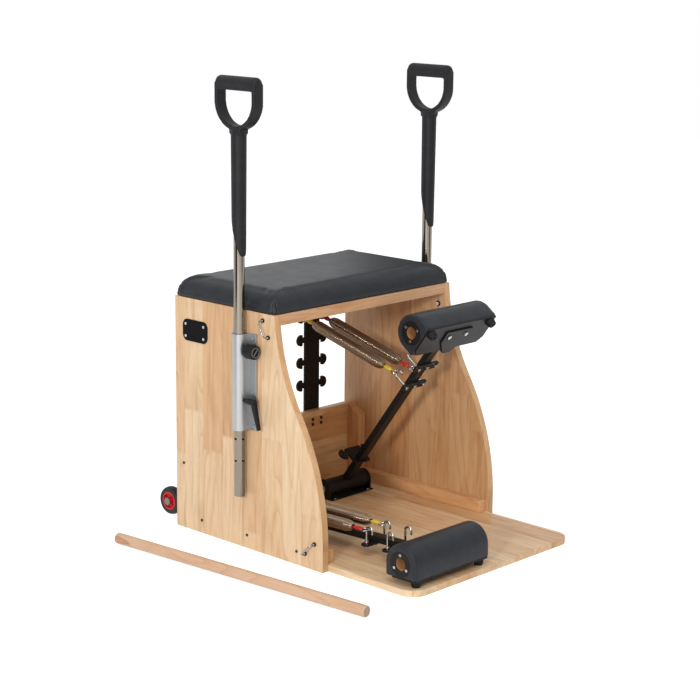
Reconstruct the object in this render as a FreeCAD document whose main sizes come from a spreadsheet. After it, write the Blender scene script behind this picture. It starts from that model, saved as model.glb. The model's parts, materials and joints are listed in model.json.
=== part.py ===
import FreeCAD, Part
import math
import os
import re
import Sketcher
from FreeCAD import Placement, Rotation, Vector

# Pilates chair with two sprung pedals, seen from the front: X to the right, -Y to the front, Z up.
# The origin is on the floor, midway between the side panels, under their front edge.
SIZES = {
    # Wooden frame
    "width": 600, "board": 18, "panel_height": 567, "panel_depth": 494, "top_setback": 157,
    "curve_start": 49, "curve_angle": 32, "curve_radius": 560,
    "base_thick": 15, "base_front": 258, "base_corner": 40,
    "seat_thick": 25, "rear_thick": 18, "rear_inset": 18, "rear_top": 213,
    "batten_wide": 25, "batten_high": 30, "batten_setback": 8, "corner_deep": 40, "corner_drop": 25,
    # Seat cushion
    "cushion_high": 48, "cushion_overhang": 2, "cushion_corner": 10, "cushion_bow": 2.5, "crown_run": 66,
    "ply_thick": 12, "ply_inset": 20, "soft_gap": 0.3,
    # Name plate and small screws
    "plate_long": 85, "plate_high": 52, "plate_thick": 2, "plate_corner": 15, "plate_y": 422.5,
    "plate_drop": 76,
    "plate_screw_inset": 11.5, "screw_head": 3.5, "screw_head_high": 2, "screw_shank": 2, "screw_depth": 9,
    # Strap eyes
    "eye_span": 41, "eye_wire": 2, "eye_reach": 16, "eye_bend": 8, "eye_collar": 5, "eye_collar_thick": 3,
    "upper_eye_y": 185, "upper_eye_drop": 34.5, "upper_eye_lean": 26,
    "lower_eye_y": 40.5, "lower_eye_z": 47.7, "lower_eye_lean": -45,
    # Handles
    "tube_radius": 12.7, "tube_wall": 1.5, "tube_rise": 373, "tube_long": 808, "tube_standoff": 20,
    "tube_y": 251, "pin_pitch": 52, "pin_rows": 6, "pin_hole": 4,
    "bracket_drop": 51, "bracket_high": 226, "bracket_wall": 3.7, "flange_half": 40, "flange_thick": 3,
    "flange_lip": 1.6, "flange_lip_wide": 4,
    "flange_screw": 28.5, "flange_screw_end": 11, "running_gap": 0.3,
    "grip_rise": 155, "grip_half": 66, "grip_bar": 15.5, "grip_depth": 29, "grip_arm": 10, "grip_lip": 1,
    "grip_arm_drop": 54, "grip_neck_drop": 117, "neck_radius": 18.2, "sleeve_radius": 16.5,
    "sleeve_front_drop": 402, "sleeve_rear_drop": 306,
    "plunger_drop": 37.5, "knob_radius": 16.5, "knob_long": 33, "knob_flute": 2.2, "knob_flutes": 14,
    "knob_gap": 4, "plunger_pin": 3, "plunger_hex": 9, "plunger_thread": 6,
    "lever_drop": 154, "lever_hub": 8, "lever_hub_long": 36, "lever_reach": 62, "lever_stud": 4,
    "lever_lean": 14, "lever_root": 13, "lever_tip": 5,
    # Pedal pivot
    "lane_inset": 157, "pivot_y": 360, "pivot_z": 41, "pivot_half": 75, "cheek_thick": 4, "cheek_radius": 24,
    "foot_plate": 3, "foot_half": 32, "pin_radius": 8, "bush_radius": 18, "bush_long": 20, "bush_gap": 0.08,
    "sleeve_outer": 21.5, "pin_head": 12, "pin_head_thick": 6, "anchor_radius": 6, "anchor_out": 26,
    # Pedal arm, in the pedal's own frame: along the arm from the pivot, and up square to it
    "pedal_down": 1.7, "pedal_up": 53.7, "arm_wide": 25, "arm_high": 15, "arm_wall": 2, "arm_gap": 52.5,
    "shoe_thick": 4, "shoe_long": 76.5, "shoe_half": 46, "shoe_bolt": 30,
    "hook_back": 71.5, "hook_pitch": 65, "hook_offset": 30, "hook_wire": 2.75, "hook_bend": 9, "hook_high": 24,
    "hook_tip": 8, "ear_half": 42, "ear_wide": 22, "ear_thick": 5, "hook_nut": 5, "hook_nut_high": 5,
    "park_reach": 94, "lug_plate": 5, "lug_half": 26, "lug_neck": 8, "neck_half": 7, "lug_radius": 14,
    "lug_edge": 19,
    # Pedal pad
    "bore_reach": 565, "bore_rise": 6, "bore_radius": 14, "pad_half": 125, "pad_deep": 94, "pad_top": 52,
    "pad_side": -2, "pad_bottom": -25.5, "core_deep": 52, "core_top": 26,
    "ring_radius": 29, "ring_thick": 3, "ring_hole": 14.5, "ring_screw": 20.5, "mount_thick": 4,
    "mount_half": 122, "mount_behind": 43, "mount_ahead": 43, "mount_chamfer": 14, "foot_ahead": 29,
    "foot_offset": 106,
    "foot_top": 12.5, "foot_bottom": 9.5, "foot_high": 13.7, "foot_hole": 4, "foot_hole_deep": 5,
    # Springs and their clips
    "coil_radius": 13.2, "coil_wire": 1.8, "coil_turns": 25, "coil_start": 4, "coil_taper": 2,
    "clip_ring": 11, "clip_eye": 10, "clip_wire": 1.6, "clip_sleeve": 6.5, "clip_long": 26,
    "lug_seat": 1.9, "park_seat": 3.2,
    # Spring posts
    "post_bottom": 120, "lug_drop": 85, "lug_pitch": 59, "lug_rows": 4, "post_flange": 36,
    "post_bolt_half": 15, "post_bolt_low": 179, "post_bolt_high": 192, "bolt_head": 4, "bolt_head_high": 3,
    "bolt_shank": 2.5,
    # Wheels
    "wheel_y": 538, "wheel_z": 47.7, "wheel_radius": 34.7, "tyre_inner": 22.3, "wheel_wide": 24, "wheel_inset": 10,
    "hub_boss": 9, "axle_radius": 5, "axle_gap": 0.08, "axle_head": 9.5, "axle_head_thick": 2.5, "wheel_gap": 2,
    "wheel_plate": 4, "wheel_flange": 40, "spoke_hole": 4, "spoke_ring": 13.65, "spokes": 5,
    # Dowel bar on the floor beside the chair
    "dowel_radius": 13, "dowel_long": 747, "dowel_out": 160.5, "dowel_y": 114, "dowel_turn": 4.7,
    "dowel_chamfer": 2,
}

# Places that follow from the sizes above
RULES = {
    "plate_z": "panel_height - plate_drop", "upper_eye_z": "panel_height - upper_eye_drop",
    "bracket_top": "panel_height - bracket_drop", "bracket_bottom": "bracket_top - bracket_high",
    "plunger_z": "bracket_top - plunger_drop", "lever_z": "bracket_top - lever_drop",
    "tube_top": "panel_height + tube_rise", "tube_bottom": "tube_top - tube_long",
    "grip_top": "tube_top + grip_rise", "grip_arm_top": "grip_top - grip_arm_drop",
    "grip_neck": "grip_top - grip_neck_drop", "sleeve_front": "grip_top - sleeve_front_drop",
    "sleeve_rear": "grip_top - sleeve_rear_drop",
    "lane": "width / 2 - lane_inset", "lug_top": "panel_height - seat_thick - lug_drop",
    "arm_end": "bore_reach - arm_gap", "hook_front": "arm_end - hook_back",
    "hook_rear": "hook_front - hook_pitch",
    "mount_rear": "bore_reach - mount_behind", "mount_front": "bore_reach + mount_ahead",
    "foot_reach": "bore_reach + foot_ahead",
    "wheel_outer": "width / 2 - wheel_inset", "dowel_x": "-width / 2 - dowel_out",
}

doc = FreeCAD.newDocument("PilatesChair")
sheet = doc.addObject("Spreadsheet::Sheet", "Sizes")
rows = {**SIZES, **{alias: f"={rule}" for alias, rule in RULES.items()}}
for row, (alias, content) in enumerate(rows.items(), start=1):
    sheet.set(f"A{row}", alias)
    sheet.set(f"B{row}", str(content))
    sheet.setAlias(f"B{row}", alias)
doc.recompute()

X, Y, Z = Vector(1, 0, 0), Vector(0, 1, 0), Vector(0, 0, 1)
SIDES = {"left": -1, "right": 1}
nodes = []


def size(alias):
    return float(sheet.get(alias))


def bind(obj, **rules):
    """Ties properties of an object to a formula of sheet values, such as width / 2 - board."""
    for name, rule in rules.items():
        obj.setExpression(name.replace("__", "."), re.sub(r"[a-z]\w*", r"Sizes.\g<0>", rule))
    return obj


def place(obj, x="0", y="0", z="0", turn=None):
    obj.Placement = Placement(Vector(), turn or Rotation())
    return bind(obj, Placement__Base__x=x, Placement__Base__y=y, Placement__Base__z=z)


def block(name, long, deep, high, x="0", y="0", z="0"):
    obj = bind(doc.addObject("Part::Box", name), Length=long, Width=deep, Height=high)
    return place(obj, x, y, z)


def rod(name, radius, long, x="0", y="0", z="0", along=Z):
    obj = bind(doc.addObject("Part::Cylinder", name), Radius=radius, Height=long)
    return place(obj, x, y, z, Rotation(Z, along))


def join(name, parts):
    obj = doc.addObject("Part::MultiFuse", name)
    obj.Shapes = parts
    return obj


def carve(name, base, *tools):
    for tool in tools:
        cut = doc.addObject("Part::Cut", name)
        cut.Base, cut.Tool = base, tool
        base = cut
    return base


def group(name, parts):
    obj = doc.addObject("Part::Compound", name)
    obj.Links = parts
    return obj


def mirror(name, source):
    obj = doc.addObject("Part::Mirroring", name)
    obj.Source, obj.Normal = source, X
    return obj


def pair(name, source):
    return group(name, [source, mirror(name + "_other", source)])


def node(label, obj):
    obj.Label = label
    nodes.append(obj)
    return obj


def outline(body, role, *paths):
    """A sketch of closed paths: each point is (x, y), or (mid x, mid y, x, y) for an arc to it."""
    sketch = body.newObject("Sketcher::SketchObject", "Outline")
    plane = [part for part in body.Origin.OriginFeatures if part.Role == role][0]
    sketch.AttachmentSupport = [(plane, "")]
    sketch.MapMode = "FlatFace"
    for path in paths:
        ends = [Vector(point[-2], point[-1], 0) for point in path]
        first, flipped = sketch.GeometryCount, []
        for index, point in enumerate(path):
            near, far = ends[index - 1], ends[index]
            edge = Part.LineSegment(near, far)
            clockwise = False
            if len(point) == 4:
                middle = Vector(point[0], point[1], 0)
                clockwise = (middle - near).cross(far - near).z < 0
                edge = Part.Arc(far, middle, near) if clockwise else Part.Arc(near, middle, far)
            sketch.addGeometry(edge, False)
            flipped.append(clockwise)
        for index in range(len(path)):
            after = (index + 1) % len(path)
            far_end, near_end = 1 if flipped[index] else 2, 2 if flipped[after] else 1
            meeting = Sketcher.Constraint("Coincident", first + index, far_end, first + after, near_end)
            sketch.addConstraint(meeting)
    return sketch


def padded(name, role, depth, *paths, both=False):
    body = doc.addObject("PartDesign::Body", name)
    pad = body.newObject("PartDesign::Pad", "Pad")
    pad.Profile = outline(body, role, *paths)
    pad.SideType = "Symmetric" if both else "One side"
    bind(pad, Length=depth)
    return body


def turned(name, path, along=Z):
    """A body turned about its own Z axis from a path of (radius, height) points."""
    body = doc.addObject("PartDesign::Body", name)
    sketch = outline(body, "XZ_Plane", path)
    spin = body.newObject("PartDesign::Revolution", "Turn")
    spin.Profile = sketch
    spin.ReferenceAxis = (sketch, ["V_Axis"])
    spin.Angle = 360
    body.Placement = Placement(Vector(), Rotation(Z, along))
    return body


def solid(name, shape, placement=None):
    obj = doc.addObject("Part::Feature", name)
    obj.Shape = shape
    obj.Placement = placement or Placement()
    return obj


def arc_point(centre, radius, degrees):
    angle = math.radians(degrees)
    return centre[0] + radius * math.cos(angle), centre[1] + radius * math.sin(angle)


def screw(name, head, head_high, shank, depth, x, y, z, out):
    """A screw seated at a point: its head stands out along one axis and its shank goes in."""
    cap = rod(name + "_head", head, head_high, x, y, z, out)
    return join(name, [cap, rod(name + "_shank", shank, depth, x, y, z, out * -1)])


def small_screw(name, x, y, z, out):
    return screw(name, "screw_head", "screw_head_high", "screw_shank", "screw_depth", x, y, z, out)


# Side panels with the S-shaped front edge: an arc out of the vertical, then one back to the top
def panel_path():
    angle = math.radians(size("curve_angle"))
    radius, start, top = size("curve_radius"), size("curve_start"), size("panel_height")
    bend = Vector(radius * (1 - math.cos(angle)), start + radius * math.sin(angle), 0)
    half = Vector(radius * (1 - math.cos(angle / 2)), start + radius * math.sin(angle / 2), 0)
    end = Vector(size("top_setback"), top, 0)
    chord = end - bend
    heading = Vector(math.sin(angle), math.cos(angle), 0)
    lean = math.asin(heading.cross(chord).z / chord.Length)
    middle = bend + chord * 0.5 + Vector(chord.y, -chord.x, 0) * (0.5 * math.tan(lean / 2))
    depth = size("panel_depth")
    return [(0, 0), (0, start), (half.x, half.y, bend.x, bend.y), (middle.x, middle.y, end.x, end.y),
            (depth, top), (depth, 0)]


panel = place(padded("Panel", "YZ_Plane", "board", panel_path()), x="-width / 2")
panel_spots = [("panel_depth - rear_inset - rear_thick / 2", "rear_top * 0.76"),
               ("panel_depth - rear_inset - rear_thick * 4", "base_thick + batten_high / 2 + 2"),
               ("panel_depth / 2", "base_thick + batten_high / 2 + 2"),
               ("batten_setback + batten_high * 2.5", "base_thick + batten_high / 2 + 2")]
panel_screws = [small_screw("PanelScrew", "-width / 2", y, z, X * -1) for y, z in panel_spots]

plate_spots = [(f"plate_y + {side} * (plate_long / 2 - plate_screw_inset)",
                f"plate_z + {level} * (plate_high / 2 - plate_screw_inset)")
               for side in (-1, 1) for level in (-1, 1)]
plate_screws = [small_screw("PlateScrew", "-width / 2 - plate_thick", y, z, X * -1) for y, z in plate_spots]
flange_spots = [(f"tube_y + {side} * flange_screw", f"bracket_bottom + {level}")
                for side in (-1, 1) for level in ("flange_screw_end", "(bracket_high - flange_screw_end)")]
flange_screws = [small_screw("FlangeScrew", "-width / 2 - flange_thick", y, z, X * -1)
                 for y, z in flange_spots]


# Strap eyes: a wire staple that stands off the panel between two collars
def strap_eye(level):
    wire, bend = size("eye_wire"), size("eye_bend")
    half, reach = size("eye_span") / 2, size("eye_reach")
    turn = bend * (1 - math.sqrt(0.5))
    points = [(size("eye_collar_thick"), -half), (reach - bend, -half), (reach, bend - half),
              (reach, half - bend), (reach - bend, half), (size("eye_collar_thick"), half)]
    spots = [Vector(-x, 0, z) for x, z in points]
    mids = [Vector(turn - reach, 0, turn - half), Vector(turn - reach, 0, half - turn)]
    path = Part.Wire([Part.makeLine(spots[0], spots[1]), Part.Arc(spots[1], mids[0], spots[2]).toShape(),
                      Part.makeLine(spots[2], spots[3]), Part.Arc(spots[3], mids[1], spots[4]).toShape(),
                      Part.makeLine(spots[4], spots[5])])
    ring = Part.Wire(Part.makeCircle(wire, spots[0], X))
    shape = path.makePipeShell([ring], True, False)
    for end in (-half, half):
        collar = Part.makeCylinder(size("eye_collar"), size("eye_collar_thick"), Vector(0, 0, end), X * -1)
        shape = shape.fuse(collar)
    spot = Vector(-size("width") / 2, size(level + "_eye_y"), size(level + "_eye_z"))
    lean = Rotation(X, -size(level + "_eye_lean"))
    return solid("StrapEye", shape.removeSplitter(), Placement(spot, lean))


panel_holes = [part.Shapes[1] for part in panel_screws + plate_screws + flange_screws]
node("side_panel_left", carve("LeftPanel", panel, group("PanelHoles", panel_holes)))
right_holes = [part.Shapes[1] for part in panel_screws + flange_screws]
right_blank = carve("RightBlank", panel, group("RightHoles", right_holes))
node("side_panel_right", mirror("RightPanel", right_blank))
node("panel_screws", pair("PanelScrews", group("PanelScrewSet", panel_screws)))
node("pan_head_screws", group("PanScrews", plate_screws + flange_screws
                              + [mirror("FlangeScrewOther", part) for part in flange_screws]))
node("strap_eyes", pair("StrapEyes", group("StrapEyeSet", [strap_eye("upper"), strap_eye("lower")])))

# Boards between the panels
inner = "width - 2 * board"
side = "board - width / 2"
rear_y = "panel_depth - rear_inset - rear_thick"
base = block("BaseBlank", inner, f"base_front + {rear_y} + rear_thick", "base_thick", side, "-base_front")
base_board = doc.addObject("Part::Fillet", "BaseBoard")
base_board.Base = base
doc.recompute()
front_edges = [index for index, edge in enumerate(base.Shape.Edges, start=1)
               if edge.BoundBox.ZLength > size("base_thick") / 2 and edge.BoundBox.YMax < 0]
base_board.Edges = [(index, size("base_corner"), size("base_corner")) for index in front_edges]

post_x = [f"{sign} * lane" for sign in SIDES.values()]
post_y = "panel_depth - rear_inset"
post_spots = [(f"{x} + {across} * post_bolt_half", z) for x in post_x
              for across in (-1, 1) for z in ("post_bolt_low", "post_bolt_high")]
post_bolts = [screw("PostBolt", "bolt_head", "bolt_head_high", "bolt_shank", "rear_thick + lug_plate",
                    x, rear_y, z, Y * -1) for x, z in post_spots]
seat_under = "panel_height - seat_thick"
seat_bolts = [screw("SeatBolt", "bolt_head", "bolt_head_high", "bolt_shank", "lug_plate + screw_depth",
                    f"{x} + {across} * post_bolt_half", f"{post_y} - post_flange / 2",
                    f"{seat_under} - lug_plate", Z * -1) for x in post_x for across in (-1, 1)]
bolt_holes = group("BoltHoles", [part.Shapes[1] for part in post_bolts])
seat_holes = group("SeatHoles", [part.Shapes[1] for part in seat_bolts])

rear = block("RearBlank", inner, "rear_thick", "rear_top - base_thick", side, rear_y, "base_thick")
node("rear_board", carve("RearBoard", rear, bolt_holes))
seat = block("SeatBlank", inner, "panel_depth - top_setback", "seat_thick", side, "top_setback", seat_under)
node("seat_board", carve("SeatBoard", seat, seat_holes))
batten = block("Batten", "batten_wide", f"{rear_y} - batten_setback", "batten_high",
               side, "batten_setback", "base_thick")
node("base_battens", pair("Battens", batten))

corner_top, corner_y = size("rear_top"), size("panel_depth") - size("rear_inset") - size("rear_thick")
corner_low = size("base_thick") + size("batten_high")
corner = padded("Corner", "YZ_Plane", "batten_wide",
                [(corner_y - size("corner_deep"), corner_low), (corner_y, corner_low), (corner_y, corner_top),
                 (corner_y - size("corner_deep"), corner_top - size("corner_drop"))])
node("corner_battens", pair("Corners", place(corner, x=side)))


# Seat cushion: lofted through loops whose sides draw in between the corners, up to a crown
def cushion_loop(inset, height):
    half_x = size("width") / 2 + size("cushion_overhang") - inset
    half_y = (size("panel_depth") - size("top_setback")) / 2 + size("cushion_overhang") - inset
    corner, bow = size("cushion_corner"), size("cushion_bow")
    cut = corner * (1 - math.sqrt(0.5))
    edges = []
    for step in range(4):
        across, along = (half_x, half_y) if step % 2 == 0 else (half_y, half_x)
        spots = [Vector(corner - across, -along, 0), Vector(0, bow - along, 0),
                 Vector(across - corner, -along, 0), Vector(across - cut, cut - along, 0),
                 Vector(across, corner - along, 0)]
        turn = Rotation(Z, 90 * step)
        spots = [turn.multVec(spot) + Z * height for spot in spots]
        edges += [Part.Arc(*spots[:3]).toShape(), Part.Arc(*spots[2:]).toShape()]
    return Part.Wire(edges)


# Each step of the cushion's side: how far in, as a share of the crown's run, and how high
CUSHION_STEPS = [(0.05, 0.0), (0.01, 0.13), (0.0, 0.40), (0.03, 0.58), (0.09, 0.73), (0.20, 0.85),
                 (0.36, 0.93), (0.62, 0.98), (1.0, 1.0)]
cushion_y = (size("panel_depth") + size("top_setback")) / 2
loops = [cushion_loop(inset * size("crown_run"), size("soft_gap") + rise * size("cushion_high"))
         for inset, rise in CUSHION_STEPS]
cushion = solid("CushionForm", Part.makeLoft(loops, True, True),
                Placement(Vector(0, cushion_y, size("panel_height")), Rotation()))
room_long, room_deep = "width - 2 * ply_inset", "panel_depth - top_setback - 2 * ply_inset"
ply_room = block("PlyRoom", room_long, room_deep, "ply_thick + 2 * soft_gap",
                 "ply_inset - width / 2", "top_setback + ply_inset", "panel_height")
ply = block("Ply", f"{room_long} - 2 * soft_gap", f"{room_deep} - 2 * soft_gap", "ply_thick",
            "ply_inset + soft_gap - width / 2", "top_setback + ply_inset + soft_gap", "panel_height")
node("seat_cushion", carve("Cushion", cushion, ply_room))
node("cushion_board", ply)

# Bare name plate
half_long, half_high = size("plate_long") / 2, size("plate_high") / 2
name_plate = padded("NamePlate", "YZ_Plane", "plate_thick",
                    [(-half_long, -half_high), (half_long, -half_high), (half_long, half_high),
                     (-half_long, half_high)])
doc.recompute()
flat_plate = name_plate.Tip
rounding = name_plate.newObject("PartDesign::Fillet", "Corners")
thin_edges = [f"Edge{index}" for index, edge in enumerate(name_plate.Shape.Edges, start=1)
              if edge.Length < size("plate_thick") * 1.5]
rounding.Base = (flat_plate, thin_edges)
bind(rounding, Radius="plate_corner")
name_plate.Tip = rounding
place(name_plate, "-width / 2 - plate_thick", "plate_y", "plate_z")
plate_holes = group("PlateHoles", [part.Shapes[1] for part in plate_screws])
node("name_plate", carve("NamePlateHoled", name_plate, plate_holes))


# Spring posts: a plate with round-backed lugs on necks, and a flange under the seat board
def lug_path(sign, height):
    edge, neck, tip = (sign * size(alias) for alias in ("lug_half", "lug_neck", "lug_edge"))
    root, radius = edge + neck, size("lug_radius")
    half = size("neck_half")
    return [(edge, height - half), (root, height - half), (root, height - radius),
            (root + tip, height, root, height + radius), (root, height + half), (edge, height + half)]


def lug_outline(bottom, top, levels):
    half = size("lug_half")
    right = [point for height in levels for point in lug_path(1, height)]
    left = [point for height in levels for point in lug_path(-1, height)]
    turned_left = []
    for index in range(len(left) - 1, -1, -1):
        point = left[index]
        later = left[index + 1] if index + 1 < len(left) else point
        turned_left.append((*later[:2], *point[-2:]) if len(later) == 4 else point[-2:])
    return [(-half, bottom), (half, bottom), *right, (half, top), (-half, top), *turned_left]


post_levels = [size("lug_top") - size("lug_pitch") * row for row in reversed(range(int(size("lug_rows"))))]
seat_low = size("panel_height") - size("seat_thick")


def spring_post(sign):
    path = lug_outline(size("post_bottom"), seat_low, post_levels)
    plate = padded("PostPlate", "XZ_Plane", "lug_plate", path)
    place(plate, x=f"{sign} * lane", y=f"{post_y} + lug_plate")
    flange = block("PostFlange", "2 * lug_half", "post_flange", "lug_plate", f"{sign} * lane - lug_half",
                   f"{post_y} + lug_plate - post_flange", f"{seat_under} - lug_plate")
    return carve("Post", join("PostBent", [plate, flange]), bolt_holes, seat_holes)


node("spring_posts", group("Posts", [spring_post(sign) for sign in SIDES.values()]))
node("post_bolts", group("PostBolts", post_bolts + seat_bolts))


# Handle brackets: an extrusion with a round nose, flat cheeks and two lipped flanges, bored for the tube.
# The front lip is cut back round the plunger's knob.
def bracket():
    nose = size("tube_radius") + size("running_gap") + size("bracket_wall")
    axis, flange, half = -size("tube_standoff"), -size("flange_thick"), size("flange_half")
    lip, inside = flange - size("flange_lip"), half - size("flange_lip_wide")
    path = [(0, -half), (lip, -half), (lip, -inside), (flange, -inside), (flange, -nose), (axis, -nose),
            (axis - nose, 0, axis, nose), (flange, nose), (flange, inside), (lip, inside), (lip, half), (0, half)]
    body = padded("Extrusion", "XY_Plane", "bracket_high", path)
    place(body, "-width / 2", "tube_y", "bracket_bottom")
    tube_x = "-width / 2 - tube_standoff"
    holes = [rod("TubeBore", "tube_radius + running_gap", "bracket_high", tube_x, "tube_y", "bracket_bottom"),
             rod("PlungerHole", "plunger_thread", "flange_half", tube_x, "tube_y", "plunger_z", Y * -1),
             rod("LeverHole", "lever_stud + running_gap", "flange_half", tube_x, "tube_y", "lever_z", Y * -1),
             rod("KnobRoom", "knob_radius + running_gap", "knob_long", tube_x,
                 "tube_y - flange_half + 2 * flange_lip_wide", "plunger_z", Y * -1)]
    return carve("Bracket", body, group("BracketHoles", holes + [part.Shapes[1] for part in flange_screws]))


node("handle_brackets", pair("Brackets", bracket()))


# Plunger and clamp lever on the front of each bracket, turned about an axis along -Y
def front_axis(sign, height):
    spot = Vector(sign * (size("width") / 2 + size("tube_standoff")), size("tube_y"), size(height))
    return Placement(spot, Rotation(Z, Y * -1))


bracket_face = size("tube_radius") + size("running_gap") + size("bracket_wall")
barrel_end = bracket_face + size("knob_gap")


def plunger_body():
    hexagon = [arc_point((0, 0), size("plunger_hex"), 60 * corner) for corner in range(6)]
    flat = padded("PlungerHex", "XY_Plane", "knob_gap - running_gap", hexagon)
    flat.Placement = Placement(Z * bracket_face, Rotation())
    thread = rod("PlungerThread", "plunger_thread", "bracket_wall", z="tube_radius + running_gap")
    pin_room = rod("PinRoom", "plunger_pin + running_gap", "flange_half")
    body = carve("PlungerBody", join("PlungerBlank", [flat, thread]), pin_room)
    body.Placement = front_axis(-1, "plunger_z")
    return body


def plunger_knob(sign):
    far, radius = barrel_end + size("knob_long"), size("knob_radius")
    waist, lip = radius * 0.72, radius * 0.12
    pin, nose = size("plunger_pin"), size("tube_radius") + size("running_gap")
    knob = turned("Knob", [(0, nose), (pin, nose), (pin, barrel_end), (waist, barrel_end),
                           (waist, barrel_end + 2 * lip), (radius, barrel_end + 4 * lip),
                           (radius, far - lip), (radius - lip, far), (0, far)])
    count = int(size("knob_flutes"))
    flutes = []
    for index in range(count):
        x, y = arc_point((0, 0), radius + size("knob_flute") * 0.4, 360 * index / count)
        flute = bind(doc.addObject("Part::Cylinder", "Flute"), Radius="knob_flute", Height="knob_long")
        flute.Placement = Placement(Vector(x, y, barrel_end - lip), Rotation())
        flutes.append(flute)
    fluted = carve("FlutedKnob", knob, group("Flutes", flutes))
    fluted.Placement = front_axis(sign, "plunger_z")
    return fluted


def clamp_lever(sign):
    hub, long, gap = size("lever_hub"), size("lever_hub_long"), size("running_gap")
    stud = size("lever_stud")
    nose, foot = size("tube_radius") + gap, bracket_face + gap
    end = foot + long
    turning = turned("LeverHub", [(0, nose), (stud, nose), (stud, foot), (hub * 0.65, foot),
                                  (hub, end - size("lever_root")), (hub, end - 3), (hub * 0.6, end), (0, end)])
    reach, tip = size("lever_reach"), end + size("lever_lean")
    arm = [(0, end - size("lever_root")), (0, end), (reach, tip), (reach, tip - size("lever_tip"))]
    blade = padded("LeverBlade", "XZ_Plane", "lever_hub * 1.1", arm, both=True)
    lever = join("Lever", [turning, blade])
    hanging = Placement(Vector(), Rotation(Z, -90))
    lever.Placement = front_axis(sign, "lever_z").multiply(hanging)
    return lever


node("plunger_bodies", pair("PlungerBodies", plunger_body()))


# Handle tube with cross holes for the plunger, and the D-shaped grip pressed on its top
def tube(sign):
    x, y = f"{sign} * (width / 2 + tube_standoff)", "tube_y"
    outer = rod("TubeOuter", "tube_radius", "tube_top - tube_bottom", x, y, "tube_bottom")
    hollow = rod("TubeInner", "tube_radius - tube_wall", "tube_top - tube_bottom", x, y, "tube_bottom")
    holes = []
    for index in range(int(size("pin_rows"))):
        level = f"plunger_z - {index} * pin_pitch"
        holes += [rod("CrossHole", "pin_hole", "4 * tube_radius", f"{x} - 2 * tube_radius", y, level, X),
                  rod("CrossHole", "pin_hole", "4 * tube_radius", x, "tube_y - 2 * tube_radius", level, Y)]
    return carve("Tube", outer, hollow, group("CrossHoles", holes))


def grip(sign):
    half, arm, top = size("grip_half") - size("grip_lip"), size("grip_arm"), size("grip_arm_top")
    neck, neck_radius, bar = size("grip_neck"), size("neck_radius") * 0.93, size("grip_bar")
    run, drop = half - neck_radius, top - neck
    radius = (run * run + drop * drop) / (2 * run)
    centre, inside = half - radius, radius - arm
    bar_low, bar_mid = size("grip_top") - 2 * bar, size("grip_top") - bar
    swing = math.degrees(math.asin(drop / radius))
    keel = math.degrees(math.acos(-centre / inside))
    outer_mid = arc_point((centre, top), radius, -swing / 2)
    inner_mid = arc_point((centre, top), inside, -keel / 2)
    keel_low = top - inside * math.sin(math.radians(keel))
    outer = [(-neck_radius, neck - arm), (neck_radius, neck - arm), (neck_radius, neck),
             (*outer_mid, half, top), (half, bar_mid), (-half, bar_mid), (-half, top),
             (-outer_mid[0], outer_mid[1], -neck_radius, neck)]
    window = [(*inner_mid, half - arm, top), (half - arm, bar_low), (arm - half, bar_low),
              (arm - half, top), (-inner_mid[0], inner_mid[1], 0, keel_low)]
    loop = padded("GripLoop", "YZ_Plane", "grip_depth", outer, window, both=True)
    bar_rod = rod("GripBar", "grip_bar", "2 * grip_half", y="-grip_half", z="grip_top - grip_bar", along=Y)
    rounded = doc.addObject("Part::Fillet", "GripBarEnds")
    rounded.Base = bar_rod
    doc.recompute()
    rounded.Edges = [(index, bar * 0.7, bar * 0.7) for index, edge in enumerate(bar_rod.Shape.Edges, start=1)
                     if len(edge.Vertexes) == 1 and edge.BoundBox.YLength < 0.01]
    stem = doc.addObject("Part::Cone", "Stem")
    bind(stem, Radius1="sleeve_radius", Radius2="neck_radius", Height="grip_neck - sleeve_front")
    place(stem, z="sleeve_front")
    blank = join("GripBlank", [loop, rounded, stem])
    bore = rod("GripBore", "tube_radius", "tube_top - sleeve_front", z="sleeve_front")
    low, high, edge = size("sleeve_front"), size("sleeve_rear"), size("sleeve_radius")
    lean = (high - low) / (1.8 * edge)
    wedge = padded("SlantCut", "YZ_Plane", "6 * sleeve_radius",
                   [(-0.8 * edge, low), (2 * edge, low + 2.8 * edge * lean), (2 * edge, low - edge),
                    (-0.8 * edge, low - edge)], both=True)
    whole = carve("Grip", blank, bore, wedge)
    return place(whole, f"{sign} * (width / 2 + tube_standoff)", "tube_y", "0")


for name, sign in SIDES.items():
    node(f"handle_tube_{name}", tube(sign))
    node(f"handle_grip_{name}", grip(sign))
    node(f"plunger_knob_{name}", plunger_knob(sign))
    node(f"clamp_lever_{name}", clamp_lever(sign))


# Pedal pivots: a folded bracket on the base, a pin through its cheeks and two bushes on the pin
def pivot_bracket():
    radius, low = size("cheek_radius"), size("base_thick") - size("pivot_z")
    cheek_path = [(-radius, low), (radius, low), (radius, 0), (0, radius, -radius, 0)]
    cheeks = []
    for start in ("-pivot_half", "pivot_half - cheek_thick"):
        cheek = padded("Cheek", "YZ_Plane", "cheek_thick", cheek_path)
        cheeks.append(place(cheek, f"lane + {start}", "pivot_y", "pivot_z"))
    floor = block("PivotFloor", "2 * pivot_half", "2 * foot_half", "foot_plate",
                  "lane - pivot_half", "pivot_y - foot_half", "base_thick")
    shanks = [part.Shapes[1] for part in anchors]
    return carve("PivotBracket", join("PivotBent", [floor, *cheeks]), pivot_pin.Shapes[0], *shanks)


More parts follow.
